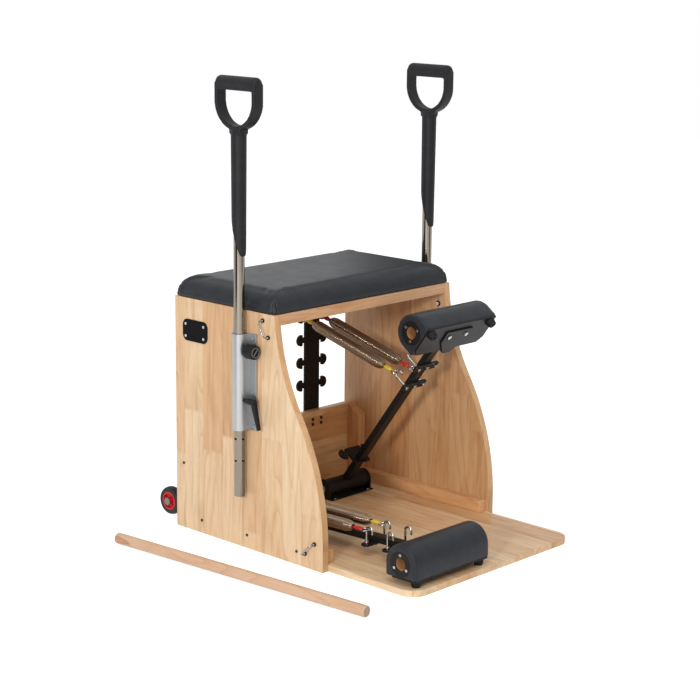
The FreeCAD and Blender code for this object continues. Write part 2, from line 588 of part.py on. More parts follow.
pivot_pin = join("PivotPin", [
    rod("PinShank", "pin_radius", "2 * pivot_half", "lane - pivot_half", "pivot_y", "pivot_z", X),
    rod("PinHead", "pin_head", "pin_head_thick", "lane + pivot_half", "pivot_y", "pivot_z", X),
    rod("PinNut", "pin_head", "pin_head_thick", "lane - pivot_half - pin_head_thick", "pivot_y", "pivot_z", X)])
anchors = [screw("Anchor", "anchor_radius", "screw_head_high", "bolt_shank", "foot_plate + base_thick * 0.6",
                 f"lane + {across} * (pivot_half - cheek_thick * 4)", f"pivot_y + {deep} * anchor_out",
                 "base_thick + foot_plate", Z)
           for across in (-1, 1) for deep in (-1, 1)]
bushes = [carve("Bush", rod("BushOuter", "bush_radius", "bush_long", x, "pivot_y", "pivot_z", X),
                rod("BushInner", "pin_radius", "bush_long", x, "pivot_y", "pivot_z", X))
          for x in ("lane - pivot_half + cheek_thick", "lane + pivot_half - cheek_thick - bush_long")]
anchor_holes = pair("AnchorHoles", group("AnchorShanks", [part.Shapes[1] for part in anchors]))
node("base_board", carve("BaseDrilled", base_board, anchor_holes))
node("pivot_brackets", pair("PivotBrackets", pivot_bracket()))
node("pivot_pins", pair("PivotPins", group("PinsAndAnchors", [pivot_pin, *anchors])))
node("pivot_bushes", pair("PivotBushes", group("BushSet", bushes)))


# Pedals, each in its own frame: the arm runs along -Y from the pivot, and the pad stands up along Z
def pedal_frame(name, sign):
    angle = size("pedal_down") if name == "left" else size("pedal_up")
    return Placement(Vector(sign * size("lane"), size("pivot_y"), size("pivot_z")), Rotation(X * -1, angle))


def pedal_arm():
    sleeve_half = "(pivot_half - cheek_thick - running_gap)"
    sleeve = rod("SleeveOuter", "sleeve_outer", f"2 * {sleeve_half}", f"-{sleeve_half}", along=X)
    hollow = rod("SleeveInner", "bush_radius + bush_gap", "2 * pivot_half", "-pivot_half", along=X)
    bar = block("ArmOuter", "arm_wide", "arm_end", "arm_high", "-arm_wide / 2", "-arm_end", "-arm_high / 2")
    inside = block("ArmInner", "arm_wide - 2 * arm_wall", "arm_end - sleeve_outer", "arm_high - 2 * arm_wall",
                   "arm_wall - arm_wide / 2", "-arm_end", "arm_wall - arm_high / 2")
    drop = "(arm_high / 2 - pad_bottom + mount_thick + shoe_thick)"
    back = block("ShoeBack", "arm_wide", "shoe_thick", drop,
                 "-arm_wide / 2", "-arm_end - shoe_thick", f"arm_high / 2 - {drop}")
    half, near, front = size("shoe_half"), size("arm_end"), size("arm_end") + size("shoe_long")
    narrow, flare = size("arm_wide") / 2, size("arm_end") + size("shoe_long") * 0.55
    sole = padded("ShoeSole", "XY_Plane", "shoe_thick",
                  [(-narrow, -near), (-half, -flare), (-half, -front), (half, -front), (half, -flare),
                   (narrow, -near)])
    place(sole, z="pad_bottom - mount_thick - shoe_thick")
    holes = [rod("ShoeHole", "bolt_shank", "shoe_thick", f"{across} * shoe_bolt", "-arm_end - shoe_long * 0.78",
                 "pad_bottom - mount_thick - shoe_thick") for across in (-1, 1)]
    return carve("Arm", join("ArmBlank", [sleeve, bar, back, sole]), hollow, inside, group("ShoeHoles", holes))


def ear(reach):
    low, corner = "-arm_high / 2 - ear_thick", size("ear_wide") * 0.4
    plate = block("EarBlank", "2 * ear_half", "ear_wide", "ear_thick",
                  "-ear_half", f"-{reach} - ear_wide / 2", low)
    rounded = doc.addObject("Part::Fillet", "Ear")
    rounded.Base = plate
    doc.recompute()
    rounded.Edges = [(index, corner, corner) for index, edge in enumerate(plate.Shape.Edges, start=1)
                     if edge.BoundBox.ZLength > size("ear_thick") / 2]
    holes = [rod("EarHole", "hook_wire", "ear_thick", f"{across} * hook_offset", f"-{reach}", low)
             for across in (-1, 1)]
    holes.append(rod("EarBoltHole", "bolt_shank", "ear_thick", y=f"-{reach}", z=low))
    return carve("EarHoled", rounded, group("EarHoles", holes))


def park_plate():
    level, half = size("hook_high"), size("lug_radius")
    path = lug_outline(-size("arm_high") / 2 - size("ear_thick"), level + half, [level])
    plate = place(padded("ParkPlate", "XZ_Plane", "lug_plate", path), y="-park_reach + lug_plate / 2")
    window = block("ParkWindow", "arm_wide", "2 * lug_plate", "arm_high",
                   "-arm_wide / 2", "-park_reach - lug_plate", "-arm_high / 2")
    return carve("ParkHoled", plate, window)


def hook(reach, across):
    """A cane-shaped hook: its shank goes down through the ear, and its bend opens to the front."""
    bend, top, wire, tip = (size(alias) for alias in ("hook_bend", "hook_high", "hook_wire", "hook_tip"))
    low = -size("arm_high") / 2 - size("ear_thick") - size("hook_nut_high")
    shank = Part.makeCylinder(wire, top - low, Vector(0, 0, low), Z)
    centre = Vector(0, -bend, top)
    curl = Part.makeTorus(bend, wire, centre, X, 0, 360, 180)
    curl.rotate(centre, X, -90)
    point = Part.makeCylinder(wire, tip, Vector(0, -2 * bend, top - tip), Z)
    shape = shank.fuse([curl, point]).removeSplitter()
    return solid("Hook", shape, Placement(Vector(across * size("hook_offset"), -size(reach), 0), Rotation()))


def nuts(reach):
    low, y = "-arm_high / 2 - ear_thick", f"-{reach}"
    found = [screw("EarBolt", "hook_nut", "hook_nut_high", "bolt_shank", "ear_thick", "0", y, low, Z * -1)]
    for across in (-1, 1):
        x = f"{across} * hook_offset"
        for level in (f"{low} - hook_nut_high", "-arm_high / 2"):
            outer = rod("NutOuter", "hook_nut", "hook_nut_high", x, y, level)
            found.append(carve("Nut", outer, rod("NutInner", "hook_wire", "hook_nut_high", x, y, level)))
    return found


def d_section(x, inset):
    half = size("pad_deep") / 2 - inset
    top, side_top = size("pad_top") - inset, size("pad_side") - inset / 2
    low = size("pad_bottom") + inset * 0.3
    middle = -size("bore_reach")
    rise, spread = top - side_top, math.sqrt(0.5)
    spots = [Vector(x, middle - half, low), Vector(x, middle - half, side_top), Vector(x, middle, top),
             Vector(x, middle + half, side_top), Vector(x, middle + half, low)]
    mids = [Vector(x, middle + sign * half * spread, side_top + rise * spread) for sign in (-1, 1)]
    return Part.Wire([Part.makeLine(spots[0], spots[1]), Part.Arc(spots[1], mids[0], spots[2]).toShape(),
                      Part.Arc(spots[2], mids[1], spots[3]).toShape(), Part.makeLine(spots[3], spots[4]),
                      Part.makeLine(spots[4], spots[0])])


# Where the pad's covers draw in towards its ends: share of the half length, and inset
PAD_STEPS = [(-1.0, 3.2), (-0.98, 1.2), (-0.94, 0.3), (0.0, 0.0), (0.94, 0.3), (0.98, 1.2), (1.0, 3.2)]


def pad_pieces():
    sections = [d_section(share * size("pad_half"), inset) for share, inset in PAD_STEPS]
    form = solid("PadForm", Part.makeLoft(sections, True, True))
    core_half = "(pad_half - ring_thick)"
    block_core = block("CoreBlank", f"2 * {core_half}", "core_deep", "core_top - pad_bottom",
                       f"-{core_half}", "-bore_reach - core_deep / 2", "pad_bottom")
    bore = rod("CoreBore", "bore_radius", "2 * pad_half", "-pad_half", "-bore_reach", "bore_rise", X)
    rings, recesses, screws = [], [], []
    for across in (-1, 1):
        start = f"{across} * (pad_half - ring_thick / 2) - ring_thick / 2"
        disc = rod("RingOuter", "ring_radius", "ring_thick", start, "-bore_reach", "bore_rise", X)
        recesses.append(disc)
        eye = rod("RingHole", "ring_hole", "ring_thick", start, "-bore_reach", "bore_rise", X)
        found = []
        for index in range(3):
            y, z = arc_point((0, 0), size("ring_screw"), 90 + 120 * index)
            found.append(screw("RingScrew", "screw_head", "screw_head_high / 2", "screw_shank", "ring_thick",
                               f"{across} * pad_half", f"-bore_reach + {y:.4f}", f"bore_rise + {z:.4f}",
                               X * across))
        rings.append(carve("Ring", disc, eye, group("RingScrewHoles", [part.Shapes[1] for part in found])))
        screws += found
    core = carve("Core", block_core, bore)
    cover = carve("Cover", form, block_core, *recesses)
    return core, cover, rings, screws


def mount_plate():
    half, rear, front, cut = size("mount_half"), size("mount_rear"), size("mount_front"), size("mount_chamfer")
    slant = rear + cut * 1.2
    plate = padded("MountPlate", "XY_Plane", "mount_thick",
                   [(cut - half, -rear), (-half, -slant), (-half, -front), (half, -front), (half, -slant),
                    (half - cut, -rear)])
    return group("Mount", [place(plate, z="pad_bottom - mount_thick")])


def rubber_feet():
    feet = []
    for across in (-1, 1):
        x, y, low = f"{across} * foot_offset", "-foot_reach", "pad_bottom - mount_thick - foot_high"
        cone = doc.addObject("Part::Cone", "FootCone")
        bind(cone, Radius1="foot_bottom", Radius2="foot_top", Height="foot_high")
        hollow = rod("FootHole", "foot_hole", "foot_hole_deep", x, y, low)
        feet.append(carve("Foot", place(cone, x, y, low), hollow))
    return feet


def shoe_bolts():
    return [screw("ShoeBolt", "bolt_head * 1.4", "bolt_head_high", "bolt_shank", "shoe_thick",
                  f"{across} * shoe_bolt", "-arm_end - shoe_long * 0.78", "pad_bottom - mount_thick - shoe_thick",
                  Z * -1) for across in (-1, 1)]


def build_pedal(name, sign):
    frame = pedal_frame(name, sign)
    core, cover, rings, ring_screws = pad_pieces()
    hooks = [hook(reach, across) for reach in ("hook_rear", "hook_front") for across in (-1, 1)]
    fasteners = ring_screws + shoe_bolts() + nuts("hook_rear") + nuts("hook_front")
    pieces = {"pedal_arm": pedal_arm(), "spring_hooks": group("Hooks", hooks), "pedal_core": core,
              "hook_plates": group("HookPlates", [ear("hook_rear"), ear("hook_front"), park_plate()]),
              "pedal_pad": cover, "pedal_end_rings": group("Rings", rings), "pedal_plate": mount_plate(),
              "pedal_feet": group("Feet", rubber_feet()), "pedal_fasteners": group("Fasteners", fasteners)}
    for label, piece in pieces.items():
        piece.Placement = frame
        node(f"{label}_{name}", piece)


for name, sign in SIDES.items():
    build_pedal(name, sign)


# Springs: one unbroken wire on biarcs through each quarter turn, with drawn-in ends
def biarc(start, first, end, last):
    chord, both = end - start, first + last
    spread = 2 * (1 - first.dot(last))
    reach = chord.dot(chord) / (4 * chord.dot(last))
    if spread > 1e-9:
        along = chord.dot(both)
        reach = (math.sqrt(along * along + spread * chord.dot(chord)) - along) / spread
    joint = (start + end + (first - last) * reach) * 0.5
    edges = []
    for near, corner, far in ((start, start + first * reach, joint), (joint, end - last * reach, end)):
        middle = (near + far) * 0.5
        lean = math.acos(min(1.0, (far - near).Length / (2 * reach)))
        if lean < 1e-6:
            edges.append(Part.makeLine(near, far))
            continue
        sag = (far - near).Length / 2 * math.tan(lean / 2)
        edges.append(Part.Arc(near, middle + (corner - middle).normalize() * sag, far).toShape())
    return edges


def coil_shape(long):
    wire = size("coil_wire")
    straight = 2 * wire
    run = long - 2 * straight
    turns = min(int(size("coil_turns")), int(run / (2 * wire + size("running_gap"))))
    small, full, taper = size("coil_start"), size("coil_radius"), size("coil_taper")

    def spot(turn):
        inward = max(0.0, 1 - turn / taper, 1 - (turns - turn) / taper)
        swell = 1 - inward * inward * (3 - 2 * inward)
        radius = small + (full - small) * swell
        angle = 2 * math.pi * turn
        return Vector(radius * math.cos(angle), radius * math.sin(angle), straight + run * turn / turns)

    def heading(turn):
        return (spot(turn + 1e-4) - spot(turn - 1e-4)).normalize()

    marks = [index / 4 for index in range(4 * turns + 1)]
    edges = [Part.makeLine(Vector(small, 0, 0), Vector(small, 0, straight))]
    for before, after in zip(marks, marks[1:]):
        first = Vector(Z) if before == 0 else heading(before)
        last = Vector(Z) if after == turns else heading(after)
        edges += biarc(spot(before), first, spot(after), last)
    edges.append(Part.makeLine(Vector(small, 0, long - straight), Vector(small, 0, long)))
    section = Part.Wire(Part.makeCircle(wire, Vector(small, 0, 0), Z))
    shape = Part.Wire(edges).makePipeShell([section], True, False)
    samples = [spot(index / 16) for index in range(16 * turns + 1)]
    near = min(a.distanceToPoint(b) for i, a in enumerate(samples) for b in samples[i + 9:i + 40])
    print(f"spring {long:.1f} mm: least gap to itself {near - 2 * wire:.2f} mm, {turns} curls")
    return shape


def clip(name, at_eye):
    """A ring on a round sleeve. The ring's centre is the origin and the sleeve goes up Z from it."""
    across = "clip_eye" if at_eye else "clip_ring"
    ring = bind(doc.addObject("Part::Torus", name + "Ring"), Radius1=across, Radius2="clip_wire")
    ring.Placement = Placement(Vector(), Rotation(Z, Y if at_eye else X))
    sleeve = rod(name + "Sleeve", "clip_sleeve", "clip_long", z=across)
    return join(name, [ring, sleeve])


def spring_parts(start, end, seat):
    """A coil between two clips on the line from a lug's neck to the middle of a hook's bend."""
    along = end - start
    long, heading = along.Length, Vector(along).normalize()
    ahead = Placement(start + heading * seat, Rotation(X, heading.cross(X), heading, "ZXY"))
    rear_clip, front_clip = clip("RearClip", False), clip("FrontClip", True)
    rear_clip.Placement = ahead
    bearing = size("hook_bend") - size("hook_wire") - size("clip_wire") - size("running_gap")
    front_run = bearing + size("clip_eye")
    front_end = end - heading * front_run
    facing_back = Rotation(X, heading.cross(X) * -1, heading * -1, "ZXY")
    front_clip.Placement = Placement(front_end, facing_back)
    rear_long = seat + size("clip_ring") + size("clip_long")
    coil_long = long - rear_long - front_run - size("clip_eye") - size("clip_long")
    coil = solid("Coil", coil_shape(coil_long), Placement(start + heading * rear_long, ahead.Rotation))
    return coil, rear_clip, front_clip


def hook_centre(frame, across):
    return frame.multVec(Vector(across, -size("hook_rear") - size("hook_bend"), size("hook_high")))


lug_y = size("panel_depth") - size("rear_inset") + size("lug_plate") / 2
neck_x = size("lug_half") + size("lug_neck") / 2
clips = {"left": [], "right_rear": [], "right_front": []}
for name, sign in SIDES.items():
    frame = pedal_frame(name, sign)
    for place_name, across in (("inner", -sign * neck_x), ("outer", sign * neck_x)):
        end = hook_centre(frame, across)
        start, seat = Vector(sign * size("lane") + across, lug_y, size("lug_top")), size("lug_seat")
        if name == "left":
            seat = size("park_seat")
            start = frame.multVec(Vector(across, -size("park_reach"), size("hook_high")))
        coil, rear_clip, front_clip = spring_parts(start, end, seat)
        node(f"spring_{name}_{place_name}", coil)
        clips["left" if name == "left" else "right_rear"].append(rear_clip)
        clips["left" if name == "left" else "right_front"].append(front_clip)
for name, parts in clips.items():
    node(f"spring_clips_{name}", group("Clips", parts))


# Rear wheels, on bolts through plates fixed to the back of the rear board
def wheel_parts(sign):
    radius, inner_radius, half = size("wheel_radius"), size("tyre_inner"), size("wheel_wide") / 2
    crown = radius * 0.1
    tyre = turned("Tyre", [(inner_radius, -half + 1), (radius - crown, -half + 1),
                           (radius, 0, radius - crown, half - 1), (inner_radius, half - 1)], X)
    bore, boss, web = size("axle_radius") + size("axle_gap"), size("hub_boss"), half * 0.4
    rim = inner_radius - 4
    hub = turned("Hub", [(bore, -half), (boss, -half), (boss, -web), (rim, -web), (rim, -half + 1),
                         (inner_radius, -half + 1), (inner_radius, half - 1), (rim, half - 1), (rim, web),
                         (boss, web), (boss, half), (bore, half)], X)
    holes = []
    count = int(size("spokes"))
    for index in range(count):
        y, z = arc_point((0, 0), size("spoke_ring"), 90 + 360 * index / count)
        holes.append(rod("SpokeHole", "spoke_hole", "wheel_wide", "-wheel_wide / 2", f"{y:.4f}", f"{z:.4f}", X))
    hub = carve("HubHoled", hub, group("SpokeHoles", holes))
    middle = Vector(sign * (size("wheel_outer") - half), size("wheel_y"), size("wheel_z"))
    for piece in (tyre, hub):
        piece.Placement = Placement(middle, piece.Placement.Rotation)
    return tyre, hub


wheel_face = "(wheel_outer - wheel_wide)"
leg_high = "2 * wheel_z - 2 * wheel_flange * 0.55"
leg_x, leg_low = f"wheel_gap - {wheel_face}", "wheel_flange * 0.55"
leg = block("WheelLeg", "wheel_plate", f"wheel_y + axle_head * 2 - ({post_y})", leg_high, leg_x, post_y, leg_low)
flange = block("WheelFlange", "wheel_flange", "wheel_plate", leg_high, leg_x, post_y, leg_low)
axle_start, axle_long = f"wheel_plate + {leg_x}", "wheel_plate + 2 * wheel_gap + wheel_wide"
axle = rod("Axle", "axle_radius", axle_long, axle_start, "wheel_y", "wheel_z", X * -1)
head = rod("AxleHead", "axle_head", "axle_head_thick", "-wheel_outer - wheel_gap", "wheel_y", "wheel_z", X * -1)
nut = rod("AxleNut", "axle_head", "axle_head_thick", axle_start, "wheel_y", "wheel_z", X)
spacer = rod("AxleSpacer", "axle_head", "wheel_gap - running_gap", leg_x, "wheel_y", "wheel_z", X * -1)
node("wheel_brackets", pair("WheelBrackets", carve("WheelBracket", join("WheelBent", [leg, flange]), axle)))
node("wheel_bolts", pair("WheelBolts", join("WheelBolt", [axle, head, nut, spacer])))
for name, sign in SIDES.items():
    tyre, hub = wheel_parts(sign)
    node(f"wheel_tyre_{name}", tyre)
    node(f"wheel_hub_{name}", hub)

# Dowel bar lying on the floor beside the left panel
dowel = rod("DowelBlank", "dowel_radius", "dowel_long", along=Y)
dowel_bar = doc.addObject("Part::Chamfer", "Dowel")
dowel_bar.Base = dowel
doc.recompute()
chamfer = size("dowel_chamfer")
dowel_bar.Edges = [(index, chamfer, chamfer) for index, edge in enumerate(dowel.Shape.Edges, start=1)
                   if len(edge.Vertexes) == 1 and edge.BoundBox.YLength < 0.01]
turn = Rotation(Z, size("dowel_turn"))
middle = Vector(size("dowel_x"), size("dowel_y"), size("dowel_radius"))
dowel_bar.Placement = Placement(middle - turn.multVec(Y * size("dowel_long") / 2), turn)
node("dowel_bar", dowel_bar)

doc.recompute()
failed = [obj.Label for obj in doc.Objects if {"Invalid", "Error"} & set(obj.State)]
failed += [obj.Label for obj in nodes if obj.Shape.isNull() or not obj.Shape.isValid() or not obj.Shape.Solids]
if failed:
    raise RuntimeError("these pieces failed: " + ", ".join(failed))
os.makedirs("parts", exist_ok=True)
for obj in nodes:
    obj.Shape.exportStep(f"parts/{obj.Label}.step")
print(f"{len(nodes)} pieces written")
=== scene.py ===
import json
import math
import bmesh
import bpy
from mathutils import Matrix, Vector

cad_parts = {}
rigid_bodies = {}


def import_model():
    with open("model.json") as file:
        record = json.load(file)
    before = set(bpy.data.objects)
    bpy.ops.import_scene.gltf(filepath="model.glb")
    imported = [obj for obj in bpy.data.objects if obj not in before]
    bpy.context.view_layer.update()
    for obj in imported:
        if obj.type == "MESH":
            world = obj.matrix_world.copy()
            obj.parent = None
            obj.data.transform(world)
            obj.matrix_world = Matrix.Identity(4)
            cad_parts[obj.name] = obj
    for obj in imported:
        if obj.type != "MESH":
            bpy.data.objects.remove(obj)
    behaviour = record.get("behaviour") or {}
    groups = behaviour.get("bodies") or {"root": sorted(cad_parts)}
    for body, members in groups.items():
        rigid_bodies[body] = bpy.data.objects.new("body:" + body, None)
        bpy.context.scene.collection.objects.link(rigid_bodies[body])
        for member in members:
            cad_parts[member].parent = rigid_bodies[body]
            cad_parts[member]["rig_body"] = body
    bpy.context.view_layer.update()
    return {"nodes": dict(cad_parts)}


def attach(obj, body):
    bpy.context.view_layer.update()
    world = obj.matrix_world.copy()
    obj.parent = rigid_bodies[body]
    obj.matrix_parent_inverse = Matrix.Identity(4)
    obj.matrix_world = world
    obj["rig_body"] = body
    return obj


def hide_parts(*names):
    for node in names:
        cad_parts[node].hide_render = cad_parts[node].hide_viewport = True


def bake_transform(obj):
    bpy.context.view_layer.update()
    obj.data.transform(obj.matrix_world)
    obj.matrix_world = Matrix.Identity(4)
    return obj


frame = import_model()
nodes = frame["nodes"]
scene = bpy.context.scene
scene.view_settings.view_transform = "Standard"
print("frame loaded,", len(nodes), "nodes")

# camera, solved from the panels and boards in the photo
cameraSet = {"place": (-3.1140, -2.7489, 1.3987), "yaw": 46.487, "pitch": 12.659, "roll": 0.625,
             "lens": 94.84, "sensor": 36}


def placeCamera(values):
    yaw, pitch, roll = (math.radians(values[key]) for key in ("yaw", "pitch", "roll"))
    forward = Vector((math.sin(yaw) * math.cos(pitch), math.cos(yaw) * math.cos(pitch), -math.sin(pitch)))
    level = Vector((math.cos(yaw), -math.sin(yaw), 0))
    above = level.cross(forward)
    right = level * math.cos(roll) + above * math.sin(roll)
    up = above * math.cos(roll) - level * math.sin(roll)
    data = bpy.data.cameras.new("photoCamera")
    data.sensor_width, data.lens = values["sensor"], values["lens"]
    camera = bpy.data.objects.new("photoCamera", data)
    scene.collection.objects.link(camera)
    turn = Matrix((right, up, -forward)).transposed()
    camera.matrix_world = Matrix.Translation(values["place"]) @ turn.to_4x4()
    scene.camera = camera


placeCamera(cameraSet)


# shader helpers
def putNode(tree, kind, inputs=None, **settings):
    made = tree.nodes.new(kind)
    for name, value in settings.items():
        setattr(made, name, value)
    for key, value in (inputs or {}).items():
        if isinstance(value, bpy.types.NodeSocket):
            tree.links.new(value, made.inputs[key])
        else:
            made.inputs[key].default_value = value
    return made


def maths(tree, operation, a, b=0.0):
    return putNode(tree, "ShaderNodeMath", {0: a, 1: b}, operation=operation).outputs[0]


def mixed(tree, way, amount, a, b):
    made = putNode(tree, "ShaderNodeMix", {0: amount, 6: a, 7: b}, data_type="RGBA", blend_type=way)
    return made.outputs[2]


def ranged(tree, value, low, high, outLow, outHigh):
    return putNode(tree, "ShaderNodeMapRange", {0: value, 1: low, 2: high, 3: outLow, 4: outHigh}).outputs[0]


def ramp(tree, value, stops):
    made = putNode(tree, "ShaderNodeValToRGB", {0: value})
    bar = made.color_ramp.elements
    while len(bar) < len(stops):
        bar.new(0.5)
    for stop, (place, colour) in zip(bar, stops):
        stop.position = place
        stop.color = (*colour, 1)
    return made.outputs[0]


def noise(tree, vector, scale, detail=3.0, roughness=0.55):
    return putNode(tree, "ShaderNodeTexNoise",
                   {"Vector": vector, "Scale": scale, "Detail": detail, "Roughness": roughness}).outputs[0]


def stretched(tree, vector, along, across, shift):
    parts = putNode(tree, "ShaderNodeSeparateXYZ", {0: vector}).outputs
    run = maths(tree, "ADD", maths(tree, "MULTIPLY", parts[0], along), shift)
    wide = maths(tree, "ADD", maths(tree, "MULTIPLY", parts[1], across), shift)
    deep = maths(tree, "MULTIPLY", parts[2], across)
    return putNode(tree, "ShaderNodeCombineXYZ", {0: run, 1: wide, 2: deep}).outputs[0]


def newGroup(name, inputs, outputs):
    tree = bpy.data.node_groups.new(name, "ShaderNodeTree")
    for label, value in inputs.items():
        kind = "NodeSocketVector" if value is None else "NodeSocketFloat"
        socket = tree.interface.new_socket(label, in_out="INPUT", socket_type=kind)
        if value is not None:
            socket.default_value = value
    for label, kind in outputs.items():
        tree.interface.new_socket(label, in_out="OUTPUT", socket_type="NodeSocket" + kind)
    return tree, tree.nodes.new("NodeGroupInput").outputs, tree.nodes.new("NodeGroupOutput").inputs


# edge-glued staves with finger joints: X runs along the grain, Y across the staves
woodTones = [(0.0, (0.82, 0.625, 0.42)), (0.40, (0.80, 0.59, 0.38)), (0.68, (0.77, 0.54, 0.33)),
             (0.87, (0.72, 0.47, 0.27)), (1.0, (0.66, 0.40, 0.21))]
figureTones = [(0.30, (0.76, 0.63, 0.50)), (0.50, (1.0, 0.99, 0.96)), (0.70, (0.88, 0.79, 0.69))]
ringTones = [(0.0, (0.97, 0.95, 0.92)), (0.45, (1.0, 1.0, 1.0)), (0.86, (0.86, 0.77, 0.67)),
             (0.95, (0.66, 0.51, 0.38)), (1.0, (0.97, 0.95, 0.92))]
streakTones = [(0.32, (0.82, 0.73, 0.64)), (0.58, (1.0, 1.0, 1.0))]
poreTones = [(0.26, (0.64, 0.52, 0.42)), (0.36, (1.0, 1.0, 1.0))]
staveSet = {"toothPitch": 0.0035, "spread": 37.0, "ringCount": 11.0, "glueNear": 0.0001, "glueFar": 0.0008,
            "glueTone": 0.82}
# each grain layer: stretch along and across, detail, roughness
grainSet = {"figure": (3.4, 15.0, 5.0, 0.6), "hills": (1.3, 12.0, 2.0, 0.45),
            "streak": (11.0, 260.0, 3.0, 0.6), "pores": (40.0, 1300.0, 1.0, 0.5)}


def grainLayer(tree, vector, shift, name):
    along, across, detail, roughness = grainSet[name]
    return noise(tree, stretched(tree, vector, along, across, shift), 1.0, detail, roughness)


def makeStaves():
    tree, given, out = newGroup("gluedStaves", {"Vector": None, "Stave Width": 0.06, "Stave Length": 0.45,
                                                "Finger": 2.6, "Seed": 0.0, "Grain": 1.0},
                                {"Color": "Color", "Roughness": "Float", "Height": "Float"})
    along, across = putNode(tree, "ShaderNodeSeparateXYZ", {0: given["Vector"]}).outputs[:2]
    lane = maths(tree, "DIVIDE", across, given["Stave Width"])
    row = maths(tree, "FLOOR", lane)
    rowKey = maths(tree, "ADD", row, given["Seed"])
    rowChance = putNode(tree, "ShaderNodeTexWhiteNoise", {"W": rowKey}, noise_dimensions="1D").outputs[0]
    tooth = maths(tree, "MULTIPLY", maths(tree, "PINGPONG", across, staveSet["toothPitch"]), given["Finger"])
    start = maths(tree, "MULTIPLY", rowChance, given["Stave Length"])
    run = maths(tree, "ADD", maths(tree, "ADD", along, start), tooth)
    run = maths(tree, "DIVIDE", run, given["Stave Length"])
    column = maths(tree, "FLOOR", run)
    key = putNode(tree, "ShaderNodeCombineXYZ", {0: row, 1: column, 2: given["Seed"]}).outputs[0]
    chance = putNode(tree, "ShaderNodeTexWhiteNoise", {"Vector": key}, noise_dimensions="3D").outputs[0]
    shift = maths(tree, "MULTIPLY", chance, staveSet["spread"])
    figure, hills, streak, pores = (grainLayer(tree, given["Vector"], shift, name) for name in grainSet)
    rings = maths(tree, "FRACT", maths(tree, "MULTIPLY", hills, staveSet["ringCount"]))
    colour = ramp(tree, chance, woodTones)
    layers = [(figure, 0.85, figureTones), (rings, 0.50, ringTones), (streak, 0.35, streakTones),
              (pores, 0.40, poreTones)]
    for value, amount, tones in layers:
        share = maths(tree, "MULTIPLY", given["Grain"], amount)
        colour = mixed(tree, "MULTIPLY", share, colour, ramp(tree, value, tones))
    glue = None
    for value, pitch in ((lane, given["Stave Width"]), (run, given["Stave Length"])):
        part = maths(tree, "FRACT", value)
        nearest = maths(tree, "MINIMUM", part, maths(tree, "SUBTRACT", 1.0, part))
        edge = maths(tree, "MULTIPLY", nearest, pitch)
        line = ranged(tree, edge, staveSet["glueNear"], staveSet["glueFar"], staveSet["glueTone"], 1.0)
        glue = line if glue is None else maths(tree, "MULTIPLY", glue, line)
    colour = mixed(tree, "MULTIPLY", 1.0, colour, glue)
    tree.links.new(colour, out["Color"])
    tree.links.new(ranged(tree, figure, 0.2, 0.8, 0.36, 0.50), out["Roughness"])
    relief = maths(tree, "ADD", maths(tree, "MULTIPLY", streak, 0.6), maths(tree, "MULTIPLY", pores, 0.4))
    tree.links.new(maths(tree, "MULTIPLY", relief, glue), out["Height"])
    return tree


# pebbled skin for vinyl, rubber and moulded plastic
def makePebble():
    tree, given, out = newGroup("pebbledSkin", {"Vector": None, "Cells": 700.0, "Low": 0.3, "High": 0.45},
                                {"Roughness": "Float", "Height": "Float"})
    cells = putNode(tree, "ShaderNodeTexVoronoi", {"Vector": given["Vector"], "Scale": given["Cells"]},
                    feature="SMOOTH_F1").outputs[0]
    patches = noise(tree, given["Vector"], 22.0, 4.0, 0.6)
    fine = noise(tree, given["Vector"], 1600.0, 1.0, 0.5)
    height = maths(tree, "ADD", maths(tree, "MULTIPLY", cells, -0.7), maths(tree, "MULTIPLY", fine, 0.3))
    tree.links.new(height, out["Height"])
    span = maths(tree, "SUBTRACT", given["High"], given["Low"])
    tree.links.new(maths(tree, "ADD", maths(tree, "MULTIPLY", patches, span), given["Low"]), out["Roughness"])
    return tree


# fine drawing marks and handling haze on metal: marks run along X
def makeDrawn():
    tree, given, out = newGroup("drawnMetal", {"Vector": None, "Marks": 1500.0, "Low": 0.1, "High": 0.25},
                                {"Roughness": "Float", "Height": "Float", "Tone": "Float"})
    marks = noise(tree, stretched(tree, given["Vector"], 12.0, given["Marks"], 0.0), 1.0, 2.0, 0.5)
    haze = noise(tree, given["Vector"], 16.0, 4.0, 0.6)
    both = maths(tree, "ADD", maths(tree, "MULTIPLY", marks, 0.4), maths(tree, "MULTIPLY", haze, 0.6))
    span = maths(tree, "SUBTRACT", given["High"], given["Low"])
    tree.links.new(maths(tree, "ADD", maths(tree, "MULTIPLY", both, span), given["Low"]), out["Roughness"])
    tree.links.new(marks, out["Height"])
    tree.links.new(ranged(tree, haze, 0.3, 0.7, 0.90, 1.0), out["Tone"])
    return tree


staves, pebble, drawn = makeStaves(), makePebble(), makeDrawn()


def newFinish(name, turn=(0, 0, 0), **shader):
    finish = bpy.data.materials.new(name)
    finish.use_nodes = True
    tree = finish.node_tree
    gloss = tree.nodes["Principled BSDF"]
    for key, value in shader.items():
        gloss.inputs[key.replace("_", " ")].default_value = value
    spot = putNode(tree, "ShaderNodeTexCoord").outputs["Object"]
    angles = tuple(math.radians(angle) for angle in turn)
    turned = putNode(tree, "ShaderNodeMapping", {"Vector": spot, "Rotation": angles}).outputs[0]
    return finish, tree, gloss, turned


def bump(tree, gloss, height, strength, distance):
    relief = putNode(tree, "ShaderNodeBump", {"Height": height, "Strength": strength, "Distance": distance})
    tree.links.new(relief.outputs[0], gloss.inputs["Normal"])


def useGroup(tree, group, vector, values):
    made = putNode(tree, "ShaderNodeGroup", node_tree=group)
    tree.links.new(vector, made.inputs["Vector"])
    for key, value in values.items():
        made.inputs[key].default_value = value
    return made.outputs


